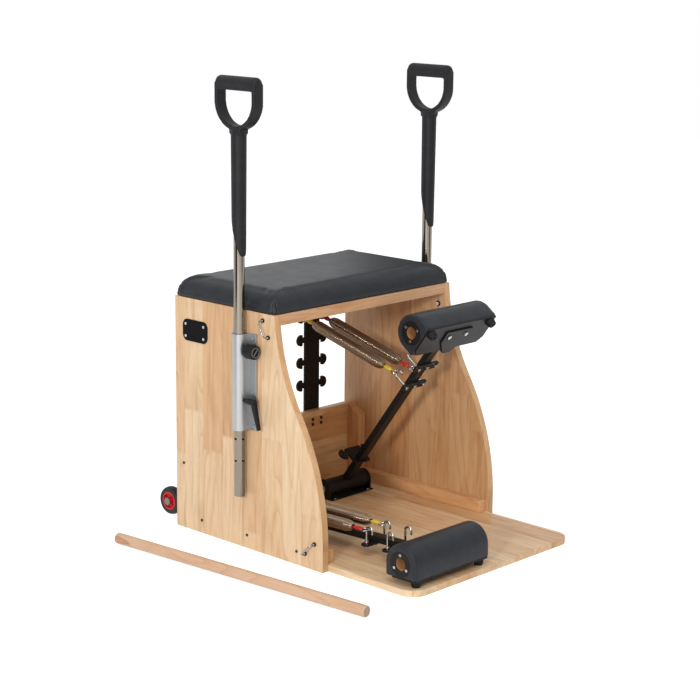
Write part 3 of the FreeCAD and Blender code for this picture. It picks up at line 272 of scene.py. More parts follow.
def woodFinish(name, turn, tint=None, **values):
    finish, tree, gloss, spot = newFinish(name, turn, Coat_Weight=0.12, Coat_Roughness=0.3)
    out = useGroup(tree, staves, spot, {key.replace("_", " "): value for key, value in values.items()})
    colour = out["Color"]
    # the tint is the finish's own tone on some boards, and painted shade and painted light on others
    if tint:
        colour = mixed(tree, "MULTIPLY", 1.0, colour, (*tint, 1))
    tree.links.new(colour, gloss.inputs["Base Color"])
    tree.links.new(out["Roughness"], gloss.inputs["Roughness"])
    bump(tree, gloss, out["Height"], 0.12, 0.0004)
    return finish


def skinFinish(name, colour, cells, low, high, strength, fleck=0.25, **shader):
    finish, tree, gloss, spot = newFinish(name, **shader)
    out = useGroup(tree, pebble, spot, {"Cells": cells, "Low": low, "High": high})
    darker = [channel * (1 - fleck) for channel in colour]
    cloud = ramp(tree, noise(tree, spot, 35.0, 4.0), [(0.3, darker), (0.7, colour)])
    tree.links.new(cloud, gloss.inputs["Base Color"])
    tree.links.new(out["Roughness"], gloss.inputs["Roughness"])
    bump(tree, gloss, out["Height"], strength, 0.0005)
    return finish


def metalFinish(name, colour, low, high, marks=1500.0, strength=0.04, turn=(0, 0, 0)):
    finish, tree, gloss, spot = newFinish(name, turn, Metallic=1.0)
    out = useGroup(tree, drawn, spot, {"Marks": marks, "Low": low, "High": high})
    tone = mixed(tree, "MULTIPLY", 1.0, (*colour, 1), out["Tone"])
    tree.links.new(tone, gloss.inputs["Base Color"])
    tree.links.new(out["Roughness"], gloss.inputs["Roughness"])
    bump(tree, gloss, out["Height"], strength, 0.0002)
    return finish


# grain along Z, along Y, and along X on a wall
upright, lengthways, facing = (0, 90, 0), (0, 0, -90), (-90, 0, 0)
single = {"Stave_Width": 0.25, "Stave_Length": 3.0}
glued = {"Stave_Width": 0.066, "Stave_Length": 0.62}
panelWood = woodFinish("panelWood", upright, Seed=3.0, **glued)
# the side panels' inner faces get a darker, browner tint: painted shade standing in for the shade inside the
# frame
shadedInnerWood = woodFinish("shadedInnerWood", upright, (0.84, 0.69, 0.55), Seed=8.0, Grain=1.15, **glued)
# panel edges get a darker, more orange tint: painted shade for the faces that the key lights less
shadedEdgeWood = woodFinish("shadedEdgeWood", upright, (0.88, 0.73, 0.57), Seed=14.0, **single)
# the base's tint lifts it above its wood tones: painted light standing in for light on its top from above
litBaseWood = woodFinish("litBaseWood", lengthways, (1.05, 1.08, 1.10),
                      Stave_Width=0.068, Stave_Length=0.6, Seed=11.0)
seatWood = woodFinish("seatWood", (0, 0, 0), (0.90, 0.76, 0.67),
                      Stave_Width=0.06, Stave_Length=0.5, Seed=19.0)
# the rear board's lighter, warmer tint is partly its wood tone and partly painted light making up for the
# shade deep inside the frame
litRearWood = woodFinish("litRearWood", facing, (1.08, 0.98, 0.80),
                      Stave_Width=0.066, Stave_Length=0.5, Seed=27.0)
battenWood = woodFinish("battenWood", lengthways, (1.0, 0.82, 0.66), Seed=33.0, **single)
cornerWood = woodFinish("cornerWood", upright, (0.95, 0.74, 0.56), Seed=35.0, **single)
coreWood = woodFinish("coreWood", (0, 0, 0), (0.74, 0.56, 0.42), Seed=41.0, **single)
dowelWood = woodFinish("dowelWood", lengthways, (0.84, 0.77, 0.80), Seed=46.0, Grain=0.7, **single)
dowelEnd = woodFinish("dowelEnd", upright, (0.50, 0.46, 0.47), Seed=47.0, **single)
plyWood = woodFinish("plyWood", (0, 0, 0), (0.85, 0.75, 0.65), Seed=52.0, **single)
matt = {"Specular_IOR_Level": 0.18}
blackVinyl = skinFinish("blackVinyl", (0.030, 0.0325, 0.038), 620.0, 0.32, 0.44, 0.14,
                        Specular_IOR_Level=0.16)
plateBlack = skinFinish("plateBlack", (0.004, 0.004, 0.005), 1800.0, 0.34, 0.46, 0.03,
                        Specular_IOR_Level=0.06)
steelBlack = skinFinish("steelBlack", (0.0115, 0.0108, 0.0105), 1500.0, 0.36, 0.50, 0.08, **matt)
gripCharcoal = skinFinish("gripCharcoal", (0.019, 0.0195, 0.022), 1300.0, 0.42, 0.55, 0.07, **matt)
knobBlack = skinFinish("knobBlack", (0.009, 0.009, 0.010), 1700.0, 0.32, 0.46, 0.05, **matt)
rubberBlack = skinFinish("rubberBlack", (0.012, 0.012, 0.013), 900.0, 0.55, 0.70, 0.10, **matt)
tyreGrey = skinFinish("tyreGrey", (0.012, 0.0118, 0.0125), 800.0, 0.42, 0.60, 0.12, Specular_IOR_Level=0.3)
hubRed = skinFinish("hubRed", (0.60, 0.013, 0.024), 1400.0, 0.28, 0.40, 0.04, 0.12, Specular_IOR_Level=0.3)
sleeveYellow = skinFinish("sleeveYellow", (0.78, 0.56, 0.030), 1200.0, 0.30, 0.42, 0.04, 0.10)
sleeveRed = skinFinish("sleeveRed", (0.60, 0.020, 0.022), 1200.0, 0.30, 0.42, 0.04, 0.10)
bushNylon = skinFinish("bushNylon", (0.72, 0.70, 0.64), 1200.0, 0.35, 0.50, 0.04, 0.08)
markGrey = skinFinish("markGrey", (0.20, 0.205, 0.21), 1600.0, 0.32, 0.46, 0.04, 0.10)
zincBright = metalFinish("zincBright", (0.50, 0.49, 0.475), 0.16, 0.30)
# the tube's dark brown-grey base colour is painted reflection: it stands in for the wood and darker
# surroundings the chrome reflects
tubeChromePaintedReflection = metalFinish("tubeChromePaintedReflection", (0.255, 0.225, 0.185), 0.06, 0.16, 900.0, 0.02, upright)
aluminiumSatin = metalFinish("aluminiumSatin", (0.44, 0.452, 0.46), 0.30, 0.44, 1100.0, 0.06, upright)
# the springs' brown base colour is partly the plating's own tone and partly painted reflection of the wood
# around them
springNickelPaintedReflection = metalFinish("springNickelPaintedReflection", (0.37, 0.27, 0.185), 0.14, 0.26)
eyeWire = metalFinish("eyeWire", (0.34, 0.32, 0.30), 0.18, 0.30)
boltDull = metalFinish("boltDull", (0.21, 0.195, 0.17), 0.22, 0.38)
screwDark = metalFinish("screwDark", (0.07, 0.06, 0.05), 0.36, 0.50)
print("finishes made,", len(bpy.data.materials))


# mesh helpers
def newPiece(name, bm, *finishes, smooth=40.0):
    mesh = bpy.data.meshes.new(name)
    bm.to_mesh(mesh)
    bm.free()
    piece = bpy.data.objects.new(name, mesh)
    scene.collection.objects.link(piece)
    for finish in finishes:
        mesh.materials.append(finish)
    mesh.shade_smooth()
    mesh.set_sharp_from_angle(angle=math.radians(smooth))
    return piece


def settle(piece, body, slot, *replaced):
    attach(piece, body)
    if replaced:
        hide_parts(*replaced)


def cadCopy(node):
    bm = bmesh.new()
    bm.from_mesh(nodes[node].data)
    bmesh.ops.remove_doubles(bm, verts=bm.verts, dist=1e-6)
    for face in bm.faces:
        face.material_index = 0
    return bm


def evenNormals(piece):
    even = piece.modifiers.new("evenNormals", "WEIGHTED_NORMAL")
    even.keep_sharp = True
    return piece


def easeEdges(bm, width, segments, angle=32.0):
    bmesh.ops.dissolve_limit(bm, angle_limit=math.radians(0.5), verts=bm.verts, edges=bm.edges)
    sharp = [edge for edge in bm.edges if edge.is_manifold and edge.calc_face_angle(0) > math.radians(angle)]
    bmesh.ops.bevel(bm, geom=sharp, offset=width, offset_type="OFFSET", segments=segments, profile=0.5,
                    affect="EDGES", clamp_overlap=True, material=-1)


def eased(node, finish, slot, width=0.0006, segments=2):
    bm = cadCopy(node)
    easeEdges(bm, width, segments)
    piece = evenNormals(newPiece(node + "_eased", bm, finish))
    settle(piece, nodes[node]["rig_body"], slot, node)


def applied(piece):
    seen = piece.evaluated_get(bpy.context.evaluated_depsgraph_get())
    mesh = bpy.data.meshes.new_from_object(seen)
    piece.modifiers.clear()
    piece.data = mesh
    return piece


def remeshed(piece, voxel):
    grid = piece.modifiers.new("grid", "REMESH")
    grid.mode, grid.voxel_size, grid.use_smooth_shade = "VOXEL", voxel, True
    return applied(piece)


def subdivided(piece):
    finer = piece.modifiers.new("finer", "SUBSURF")
    finer.levels = finer.render_levels = 1
    return applied(piece)


def soften(piece, rounds, floor=0.0):
    bm = bmesh.new()
    bm.from_mesh(piece.data)
    verts = [vert for vert in bm.verts if vert.co.z > floor]
    for _ in range(rounds):
        bmesh.ops.smooth_vert(bm, verts=verts, factor=0.5, use_axis_x=True, use_axis_y=True, use_axis_z=True)
    bm.to_mesh(piece.data)
    bm.free()


def additions(bm, known):
    return [vert for vert in bm.verts if vert not in known]


def lathe(bm, profile, steps=24, place=Matrix(), paint=0):
    known = set(bm.verts)
    line = [bm.verts.new((radius, 0, height)) for radius, height in profile]
    edges = [bm.edges.new(pair) for pair in zip(line, line[1:])]
    bmesh.ops.spin(bm, geom=line + edges, cent=(0, 0, 0), axis=(0, 0, 1), angle=2 * math.pi, steps=steps,
                   use_merge=True, use_duplicate=False)
    bmesh.ops.remove_doubles(bm, verts=additions(bm, known), dist=1e-6)
    finishPart(bm, known, place, paint)


def finishPart(bm, known, place, paint):
    fresh = additions(bm, known)
    faces = list({face for vert in fresh for face in vert.link_faces})
    bmesh.ops.recalc_face_normals(bm, faces=faces)
    for face in faces:
        face.material_index = paint
    bmesh.ops.transform(bm, matrix=place, verts=fresh)


def wireRing(bm, radius, wire, steps=28, place=Matrix(), paint=0):
    known = set(bm.verts)
    side = Matrix.Translation((radius, 0, 0)) @ Matrix.Rotation(math.radians(90), 4, "X")
    bmesh.ops.create_circle(bm, cap_ends=False, segments=10, radius=wire, matrix=side)
    fresh = additions(bm, known)
    edges = list({edge for vert in fresh for edge in vert.link_edges})
    bmesh.ops.spin(bm, geom=fresh + edges, cent=(0, 0, 0), axis=(0, 0, 1), angle=2 * math.pi, steps=steps,
                   use_merge=True, use_duplicate=False)
    bmesh.ops.remove_doubles(bm, verts=additions(bm, known), dist=1e-6)
    finishPart(bm, known, place, paint)


def aimed(start, heading, side=Vector((1, 0, 0))):
    heading = Vector(heading).normalized()
    return Matrix.Translation(start) @ Matrix((side, heading.cross(side), heading)).transposed().to_4x4()


# wooden frame, with slightly eased edges
boardSet = {"base_board": (litBaseWood, 0.003), "seat_board": (seatWood, 0.0015),
            "rear_board": (litRearWood, 0.002)}
for name, (finish, width) in boardSet.items():
    eased(name, finish, "wood", width, 3)


# side panels: outer faces pale; inner faces and edges get darker, warmer tints that are painted shade
panelSet = {"ease": 0.0022, "shadedInnerBelow": -0.9, "shadedEdgeBelow": 0.3}


def makePanel(side, sign, values):
    node = "side_panel_" + side
    bm = cadCopy(node)
    easeEdges(bm, values["ease"], 3)
    bmesh.ops.recalc_face_normals(bm, faces=bm.faces)
    for face in bm.faces:
        outward = face.normal.x * sign
        # inner faces take the painted-shade finish, edges a painted-shade tint, outer faces the pale finish
        if outward < values["shadedInnerBelow"]:
            face.material_index = 1
        elif outward < values["shadedEdgeBelow"]:
            face.material_index = 2
        else:
            face.material_index = 0
    piece = evenNormals(newPiece(node + "_eased", bm, panelWood, shadedInnerWood, shadedEdgeWood))
    settle(piece, "frame", "wood", node)


makePanel("left", -1, panelSet)
makePanel("right", 1, panelSet)
eased("base_battens", battenWood, "batten_wood", 0.0015)
eased("corner_battens", cornerWood, "batten_wood", 0.0015)
eased("cushion_board", plyWood, "plywood", 0.0008)


# loose dowel, with greyer end grain
dowelSet = {"ease": 0.0006, "endAbove": 0.9}


def makeDowel(values):
    bm = cadCopy("dowel_bar")
    easeEdges(bm, values["ease"], 2)
    bmesh.ops.recalc_face_normals(bm, faces=bm.faces)
    for face in bm.faces:
        face.material_index = 1 if abs(face.normal.y) > values["endAbove"] else 0
    piece = evenNormals(newPiece("dowel_bar_eased", bm, dowelWood, dowelEnd))
    settle(piece, "dowel", "wood", "dowel_bar")


makeDowel(dowelSet)
print("boards eased")

# fixed metalwork
eased("handle_brackets", aluminiumSatin, "aluminium", 0.0005)
eased("spring_posts", steelBlack, "black_steel", 0.0006)
eased("pivot_brackets", steelBlack, "black_steel", 0.0008)
eased("wheel_brackets", steelBlack, "black_steel", 0.0006)
for name in ("pan_head_screws", "pivot_pins", "plunger_bodies"):
    eased(name, zincBright, "zinc", 0.0005)
eased("wheel_bolts", boltDull, "zinc", 0.0010, 3)
for name in ("panel_screws", "post_bolts"):
    eased(name, screwDark, "zinc", 0.0005)
eased("pivot_bushes", bushNylon, "bush", 0.0004)
eased("name_plate", plateBlack, "plate", 0.0006)

# strap eyes: bright wire, black collars, and the nuts that hold the upper ones inside the panels
eyeSet = {"collarEdge": 0.30305, "inside": 0.282, "spot": (0.1760, 0.5141), "washer": 0.0072,
          "washerThick": 0.0014, "nut": 0.0050, "nutHigh": 0.0044, "nutCrown": 0.0052, "nutTop": 0.0043}


def makeStrapEyes(values):
    bm = cadCopy("strap_eyes")
    for face in bm.faces:
        face.material_index = 1 if abs(face.calc_center_median().x) < values["collarEdge"] else 0
    settle(newPiece("strap_eyes_wire", bm, eyeWire, knobBlack), "frame", "zinc", "strap_eyes")
    bm = bmesh.new()
    y, z = values["spot"]
    washer, thick, nut = values["washer"], values["washerThick"], values["nut"]
    washerProfile = [(0, 0), (washer, 0), (washer, thick), (0, thick)]
    nutProfile = [(0, thick), (nut, thick), (nut, values["nutHigh"]), (values["nutTop"], values["nutCrown"]),
                  (0, values["nutCrown"])]
    for side in (-1, 1):
        place = aimed((side * values["inside"], y, z), (-side, 0, 0), Vector((0, 1, 0)))
        lathe(bm, washerProfile, 24, place)
        lathe(bm, nutProfile, 6, place, 1)
    piece = evenNormals(newPiece("strap_eye_nuts", bm, screwDark, zincBright, smooth=25.0))
    settle(piece, "frame", "zinc")


makeStrapEyes(eyeSet)
print("fixed metalwork done")

# handles: polished tubes, moulded grips, fluted knobs and clamp levers
gripSet = {"voxel": 0.0016, "rounds": 7}


def makeGrip(side, values):
    node = "handle_grip_" + side
    piece = remeshed(newPiece(node + "_moulded", cadCopy(node), gripCharcoal), values["voxel"])
    soften(piece, values["rounds"])
    settle(piece, "handle_" + side, "grip", node)


# the knob's end: a raised ring with a slanting bar inside it
knobSet = {"across": 0.320, "height": 0.4785, "face": 0.1973, "ring": 0.0112, "wire": 0.0007,
           "bar": (0.0017, 0.0175, 0.0012), "slant": -40.0}


def makeKnobMark(side, sign, values):
    bm = bmesh.new()
    place = aimed((sign * values["across"], values["face"], values["height"]), (0, -1, 0))
    wireRing(bm, values["ring"], values["wire"], 40, place)
    turn = Matrix.Rotation(math.radians(values["slant"]), 4, "Z")
    bmesh.ops.create_cube(bm, size=1, matrix=place @ turn @ Matrix.Diagonal((*values["bar"], 1)))
    settle(newPiece("knobMark_" + side, bm, markGrey), "plunger_" + side, "black_plastic")


for side, sign in (("left", -1), ("right", 1)):
    makeKnobMark(side, sign, knobSet)
    eased("handle_tube_" + side, tubeChromePaintedReflection, "chrome_tube", 0.0003)
    makeGrip(side, gripSet)
    eased("plunger_knob_" + side, knobBlack, "black_plastic", 0.0005)
    eased("clamp_lever_" + side, knobBlack, "black_plastic", 0.0016, 3)
print("handles done")

# rear wheels
for side in ("left", "right"):
    eased("wheel_tyre_" + side, tyreGrey, "tyre", 0.0015, 3)
    eased("wheel_hub_" + side, hubRed, "red_plastic", 0.0006)
print("wheels done")

# pedals: steel arms and plates, hooks, nuts and feet
for side in ("left", "right"):
    eased("pedal_arm_" + side, steelBlack, "black_steel", 0.0008)
    eased("hook_plates_" + side, steelBlack, "black_steel", 0.0007)
    eased("pedal_plate_" + side, steelBlack, "black_steel", 0.0007)
    eased("pedal_end_rings_" + side, steelBlack, "black_steel", 0.0005)
    eased("pedal_core_" + side, coreWood, "wood", 0.0008)
    eased("pedal_feet_" + side, rubberBlack, "rubber", 0.0008)
    eased("spring_hooks_" + side, zincBright, "zinc", 0.0006)
    eased("pedal_fasteners_" + side, zincBright, "zinc", 0.0009)
print("pedal metalwork done")


# padded pieces: cloth pressure swells a slightly smaller form
clothSet = {"quality": 5, "mass": 0.3, "pressure": 4.0, "frames": 20}


def swell(piece, cap, held):
    rest = [vert.co.copy() for vert in piece.data.vertices]
    fixed = piece.vertex_groups.new(name="held")
    fixed.add([vert.index for vert in piece.data.vertices if held(vert.co)], 1.0, "REPLACE")
    cloth = piece.modifiers.new("cloth", "CLOTH")
    cloth.settings.quality = clothSet["quality"]
    cloth.settings.mass = clothSet["mass"]
    cloth.settings.use_pressure = True
    cloth.settings.uniform_pressure_force = clothSet["pressure"]
    cloth.settings.vertex_group_mass = "held"
    cloth.settings.effector_weights.gravity = 0
    cloth.point_cache.frame_start, cloth.point_cache.frame_end = 1, clothSet["frames"]
    for step in range(clothSet["frames"]):
        scene.frame_set(step + 1)
    applied(piece)
    scene.frame_set(1)
    for vert, start in zip(piece.data.vertices, rest):
        move = vert.co - start
        if move.length > cap:
            vert.co = start + move * (cap / move.length)
    piece.vertex_groups.clear()


# seat cushion, with two short pleats beside each corner
cushionSet = {"long": 0.603, "deep": 0.340, "low": 0.5676, "high": 0.0445, "middle": 0.3255, "corner": 0.013,
              "topEdge": 0.028, "lowEdge": 0.004, "voxel": 0.0046, "held": 0.004, "rounds": 9, "cap": 0.005,
              "pleatOff": 0.013, "pleatWide": 0.0040, "pleatDeep": 0.0055, "pleatTop": 0.034,
              "pleatFade": 0.012, "pleatReach": 0.012, "slack": 0.001}


def makeCushion(values):
    bm = bmesh.new()
    size = (values["long"], values["deep"], values["high"], 1)
    middle = (0, values["middle"], values["low"] + values["high"] / 2)
    bmesh.ops.create_cube(bm, size=1, matrix=Matrix.Translation(middle) @ Matrix.Diagonal(size))
    uprights = [edge for edge in bm.edges if abs(edge.verts[0].co.z - edge.verts[1].co.z) > values["slack"]]
    bmesh.ops.bevel(bm, geom=uprights, offset=values["corner"], offset_type="OFFSET", segments=6, profile=0.5,
                    affect="EDGES", material=-1)
    top = values["low"] + values["high"]
    for level, width in ((top, values["topEdge"]), (values["low"], values["lowEdge"])):
        rim = [edge for edge in bm.edges if edge.calc_face_angle(0) > 1
               and all(abs(vert.co.z - level) < values["slack"] for vert in edge.verts)]
        bmesh.ops.bevel(bm, geom=rim, offset=width, offset_type="OFFSET", segments=5, profile=0.5,
                        affect="EDGES", material=-1)
    piece = remeshed(newPiece("seatCushion", bm, blackVinyl), values["voxel"])
    seam = values["low"] + values["held"]
    soften(piece, values["rounds"], seam)
    swell(piece, values["cap"], lambda spot: spot.z < seam)
    subdivided(piece)
    pleat(piece, values)
    settle(piece, "frame", "vinyl", "seat_cushion")


def pleat(piece, values):
    halfX, halfY = values["long"] / 2, values["deep"] / 2
    for vert in piece.data.vertices:
        x, y = vert.co.x, vert.co.y - values["middle"]
        rise = vert.co.z - values["low"]
        fade = max(0.0, min(1.0, (values["pleatTop"] - rise) / values["pleatFade"]))
        pastX, pastY = abs(x) - halfX, abs(y) - halfY
        onFront = (pastX, pastY, Vector((0, -math.copysign(1, y), 0)))
        onSide = (pastY, pastX, Vector((-math.copysign(1, x), 0, 0)))
        for across, reach, inward in (onFront, onSide):
            near = 1 - abs(across + values["pleatOff"]) / values["pleatWide"]
            if near > 0 and reach > -values["pleatReach"]:
                vert.co += inward * (values["pleatDeep"] * near * near * (3 - 2 * near) * fade)


makeCushion(cushionSet)
print("seat cushion done")

# pedal pads: a rounded cover over the core, open round the bore at both ends
padSet = {"long": 0.2498, "deep": 0.0905, "top": 0.0502, "bottom": -0.0262, "crown": 0.0440, "edge": 0.0050,
          "reach": 0.565, "boreRise": 0.006, "opening": 0.0292, "voxel": 0.004, "held": 0.003, "cap": 0.0022,
          "sharp": 50.0, "slack": 0.001}
pedalSet = {"lane": 0.143, "pivotY": 0.36, "pivotZ": 0.041, "down": 1.7, "up": 53.7}


def pedalPlace(side):
    sign, angle = (-1, pedalSet["down"]) if side == "left" else (1, pedalSet["up"])
    pivot = Matrix.Translation((sign * pedalSet["lane"], pedalSet["pivotY"], pedalSet["pivotZ"]))
    return pivot @ Matrix.Rotation(math.radians(-angle), 4, "X")


def makePad(side, values):
    bm = bmesh.new()
    high = values["top"] - values["bottom"]
    middle = Matrix.Translation((0, -values["reach"], values["bottom"] + high / 2))
    size = Matrix.Diagonal((values["long"], values["deep"], high, 1))
    bmesh.ops.create_cube(bm, size=1, matrix=middle @ size)
    crown = [edge for edge in bm.edges if abs(edge.verts[0].co.x - edge.verts[1].co.x) > values["slack"]
             and all(vert.co.z > values["top"] - values["slack"] for vert in edge.verts)]
    bmesh.ops.bevel(bm, geom=crown, offset=values["crown"], offset_type="OFFSET", segments=12, profile=0.5,
                    affect="EDGES", material=-1)
    rest = [edge for edge in bm.edges if edge.calc_face_angle(0) > 1
            and any(vert.co.z > values["bottom"] + values["slack"] for vert in edge.verts)]
    bmesh.ops.bevel(bm, geom=rest, offset=values["edge"], offset_type="OFFSET", segments=3, profile=0.5,
                    affect="EDGES", material=-1)
    piece = remeshed(newPiece("pedalPad_" + side, bm, blackVinyl), values["voxel"])
    endFace = values["long"] / 2 - values["slack"]
    seam = values["bottom"] + values["held"]
    swell(piece, values["cap"], lambda spot: spot.z < seam or abs(spot.x) > endFace)
    subdivided(piece)
    boredOut(piece, values)
    piece.data.transform(pedalPlace(side))
    piece.data.set_sharp_from_angle(angle=math.radians(values["sharp"]))
    settle(piece, "pedal_" + side, "vinyl", "pedal_pad_" + side)


def boredOut(piece, values):
    bm = bmesh.new()
    place = aimed((-values["long"], -values["reach"], values["boreRise"]), (1, 0, 0), Vector((0, 1, 0)))
    bmesh.ops.create_cone(bm, cap_ends=True, segments=48, radius1=values["opening"],
                          radius2=values["opening"], depth=values["long"] * 4, matrix=place)
    cutter = newPiece("padOpening", bm)
    hole = piece.modifiers.new("hole", "BOOLEAN")
    hole.operation, hole.object, hole.solver = "DIFFERENCE", cutter, "EXACT"
    applied(piece)
    bpy.data.objects.remove(cutter)


for side in ("left", "right"):
    makePad(side, padSet)
print("pedal pads done")

# springs: close-wound wire with drawn-in ends, and their colour-coded clips
springSet = {"radius": 0.0132, "wire": 0.00135, "pitch": 0.0030, "steps": 18, "taper": 0.024, "tip": 0.0022,
             "ring": 0.011, "eye": 0.010, "ringWire": 0.0016, "sleeve": 0.026, "flat": 0.74}
sleeveProfile = [(0.0, -0.002), (0.0030, -0.002), (0.0052, 0.002), (0.0066, 0.009), (0.0064, 0.015),
                 (0.0048, 0.021), (0.0030, 0.026), (0.0, 0.026)]


def helix(bm, long, values, place):
    known = set(bm.verts)
    turns = round(long / values["pitch"])
    steps = turns * values["steps"]
    side = Matrix.Translation((values["radius"], 0, 0)) @ Matrix.Rotation(math.radians(90), 4, "X")
    bmesh.ops.create_circle(bm, cap_ends=False, segments=8, radius=values["wire"], matrix=side)
    fresh = additions(bm, known)
    edges = list({edge for vert in fresh for edge in vert.link_edges})
    bmesh.ops.spin(bm, geom=fresh + edges, cent=(0, 0, 0), axis=(0, 0, 1), dvec=(0, 0, long / steps),
                   angle=2 * math.pi * turns, steps=steps, use_merge=False, use_duplicate=False)
    for vert in additions(bm, known):
        end = min(vert.co.z, long - vert.co.z) / values["taper"]
        swellShare = math.sqrt(max(0.0, 1 - (1 - min(1.0, max(0.0, end))) ** 2))
        drawnIn = (values["radius"] - values["tip"]) * (1 - swellShare)
        out = Vector((vert.co.x, vert.co.y, 0)).normalized()
        vert.co -= out * drawnIn
    rims = [edge for edge in bm.edges if edge.is_boundary]
    bmesh.ops.edgeloop_fill(bm, edges=rims)
    finishPart(bm, known, place, 0)


def makeSpring(name, start, end):
    bm = bmesh.new()
    helix(bm, (end - start).length, springSet, aimed(start, end - start))
    return newPiece(name, bm, springNickelPaintedReflection, smooth=60.0)


def addClip(bm, centre, heading, atHook, paint):
    place = aimed(centre, heading)
    radius = springSet["eye"] if atHook else springSet["ring"]
    turn = Matrix.Rotation(math.radians(90), 4, "X" if atHook else "Y")
    wireRing(bm, radius, springSet["ringWire"], 28, place @ turn, 0)
    flat = Matrix.Diagonal((springSet["flat"], 1, 1, 1) if not atHook else (1, springSet["flat"], 1, 1))
    lathe(bm, sleeveProfile, 20, place @ Matrix.Translation((0, 0, radius)) @ flat, paint)


def clipPiece(name, clips):
    bm = bmesh.new()
    for centre, heading, atHook, paint in clips:
        addClip(bm, centre, heading, atHook, paint)
    return newPiece(name, bm, zincBright, sleeveYellow, sleeveRed, smooth=55.0)


# where each spring hangs: from a lug's neck, or the parking plate's, to the middle of a hook's bend
hangSet = {"neck": 0.030, "lugY": 0.4785, "lugZ": 0.457, "park": 0.094, "hook": 0.385, "rise": 0.024,
           "lugSeat": 0.0019, "parkSeat": 0.0032, "hookRun": 0.01435}


def springLine(side, across):
    pedal = pedalPlace(side)
    hookSpot = pedal @ Vector((across, -hangSet["hook"], hangSet["rise"]))
    if side == "left":
        neckSpot = pedal @ Vector((across, -hangSet["park"], hangSet["rise"]))
        gap = hangSet["parkSeat"]
    else:
        neckSpot = Vector((pedalSet["lane"] + across, hangSet["lugY"], hangSet["lugZ"]))
        gap = hangSet["lugSeat"]
    heading = (hookSpot - neckSpot).normalized()
    rear, front = neckSpot + heading * gap, hookSpot - heading * hangSet["hookRun"]
    return heading, rear, front


def makeSprings(side):
    sign = -1 if side == "left" else 1
    rearClips, frontClips = [], []
    apart = sign * hangSet["neck"]
    for place, across, paint in (("inner", -apart, 1), ("outer", apart, 2)):
        heading, rear, front = springLine(side, across)
        start = rear + heading * (springSet["ring"] + springSet["sleeve"])
        end = front - heading * (springSet["eye"] + springSet["sleeve"])
        coil = makeSpring(f"spring_{side}_{place}_wound", start, end)
        node = f"spring_{side}_{place}"
        if side == "left":
            settle(coil, "pedal_left", "spring_steel", node)
        else:
            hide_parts(node)
            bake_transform(coil)
        rearClips.append((rear, heading, False, paint))
        frontClips.append((front, -heading, True, paint))
    if side == "left":
        both = clipPiece("clips_left", rearClips + frontClips)
        settle(both, "pedal_left", "clip_sleeve", "spring_clips_left")
    else:
        rearPiece = clipPiece("clips_right_rear", rearClips)
        settle(rearPiece, "springs_right", "clip_sleeve", "spring_clips_right_rear")
        frontPiece = clipPiece("clips_right_front", frontClips)
        settle(frontPiece, "spring_ends_right", "clip_sleeve", "spring_clips_right_front")


for side in ("left", "right"):
    makeSprings(side)
print("springs done")

# studio: white ground that keeps the shadow, a soft key from the left and a pale surround
studioSet = {"floor": 16.0, "glow": 0.62, "floorTone": 0.85, "ambient": 0.60,
             "keyPlace": (-3.95, -1.65, 1.55), "keyPower": 76.0, "keyWide": 0.50,
             "fillPlace": (-1.2, -1.2, 3.8), "fillPower": 34.0, "fillWide": 2.2,
             "aim": (0, 0.1, 0.45), "floorDrop": 0.0004, "cards": [(20, 1.7), (-105, 2.2), (131, 0.5)],
             "cardAway": 3.2, "cardHigh": 3.0, "cardColour": (0.0168, 0.0132, 0.012, 1)}


def seenWhite(tree):
    rays = putNode(tree, "ShaderNodeLightPath").outputs
    seen = maths(tree, "MAXIMUM", rays["Is Camera Ray"], rays["Is Glossy Ray"])
    return maths(tree, "MAXIMUM", seen, rays["Is Transmission Ray"])


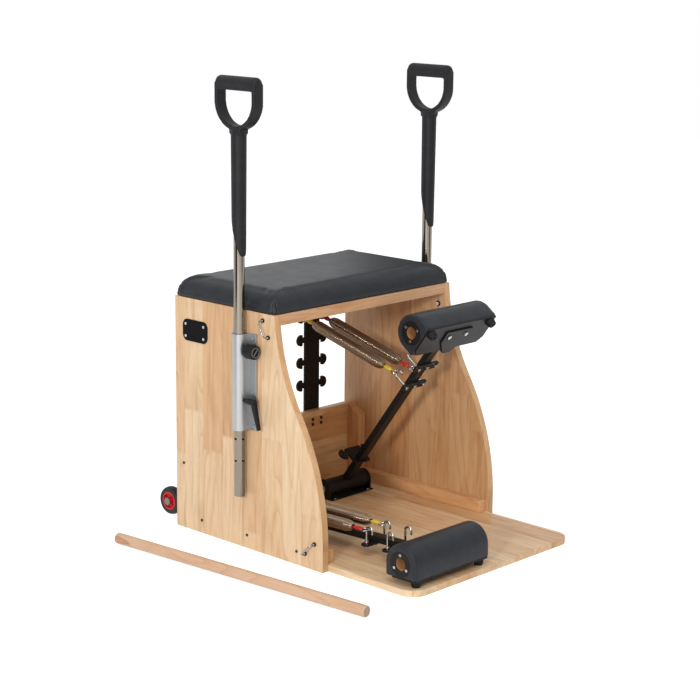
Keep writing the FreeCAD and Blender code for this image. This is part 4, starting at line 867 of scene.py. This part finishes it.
def makeStudio(values):
    bm = bmesh.new()
    bmesh.ops.create_grid(bm, x_segments=1, y_segments=1, size=values["floor"] / 2,
                          matrix=Matrix.Translation((0, 0, -values["floorDrop"])))
    white = bpy.data.materials.new("whiteGround")
    white.use_nodes = True
    tree = white.node_tree
    tree.nodes.remove(tree.nodes["Principled BSDF"])
    tone = values["floorTone"]
    ground = putNode(tree, "ShaderNodeBsdfDiffuse", {"Color": (tone, tone, tone, 1)})
    lift = maths(tree, "MULTIPLY", seenWhite(tree), values["glow"])
    glow = putNode(tree, "ShaderNodeEmission", {"Strength": lift})
    both = putNode(tree, "ShaderNodeAddShader", {0: ground.outputs[0], 1: glow.outputs[0]})
    tree.links.new(both.outputs[0], tree.nodes["Material Output"].inputs["Surface"])
    newPiece("floor", bm, white)
    world = bpy.data.worlds.new("paleSurround")
    scene.world = world
    world.use_nodes = True
    tree = world.node_tree
    strength = ranged(tree, seenWhite(tree), 0.0, 1.0, values["ambient"], 1.0)
    back = tree.nodes["Background"]
    back.inputs["Color"].default_value = (1, 1, 1, 1)
    tree.links.new(strength, back.inputs["Strength"])
    for name in ("key", "fill"):
        lamp = bpy.data.lights.new(name + "Lamp", "AREA")
        lamp.energy, lamp.size = values[name + "Power"], values[name + "Wide"]
        stand = bpy.data.objects.new(name + "Lamp", lamp)
        scene.collection.objects.link(stand)
        spot = Vector(values[name + "Place"])
        stand.rotation_euler = (Vector(values["aim"]) - spot).to_track_quat("-Z", "Y").to_euler()
        stand.location = spot


# dark cards for reflections alone: two beside the camera give round metal its streaks, and one behind the
# chair calms the sheen on the seat
def makeCards(values):
    shade = bpy.data.materials.new("darkCard")
    shade.use_nodes = True
    gloss = shade.node_tree.nodes["Principled BSDF"]
    gloss.inputs["Base Color"].default_value = values["cardColour"]
    gloss.inputs["Roughness"].default_value = 1.0
    for index, (bearing, wide) in enumerate(values["cards"]):
        angle = math.radians(bearing)
        out = Vector((math.sin(angle), -math.cos(angle), 0))
        stand = out * values["cardAway"] + Vector((0, 0, values["cardHigh"] / 2))
        place = aimed(stand, -out, Vector((out.y, -out.x, 0)))
        bm = bmesh.new()
        bmesh.ops.create_grid(bm, x_segments=1, y_segments=1, size=0.5,
                              matrix=place @ Matrix.Diagonal((wide, values["cardHigh"], 1, 1)))
        card = newPiece(f"darkCard_{index}", bm, shade)
        card.visible_camera = card.visible_diffuse = card.visible_shadow = False


makeStudio(studioSet)
makeCards(studioSet)
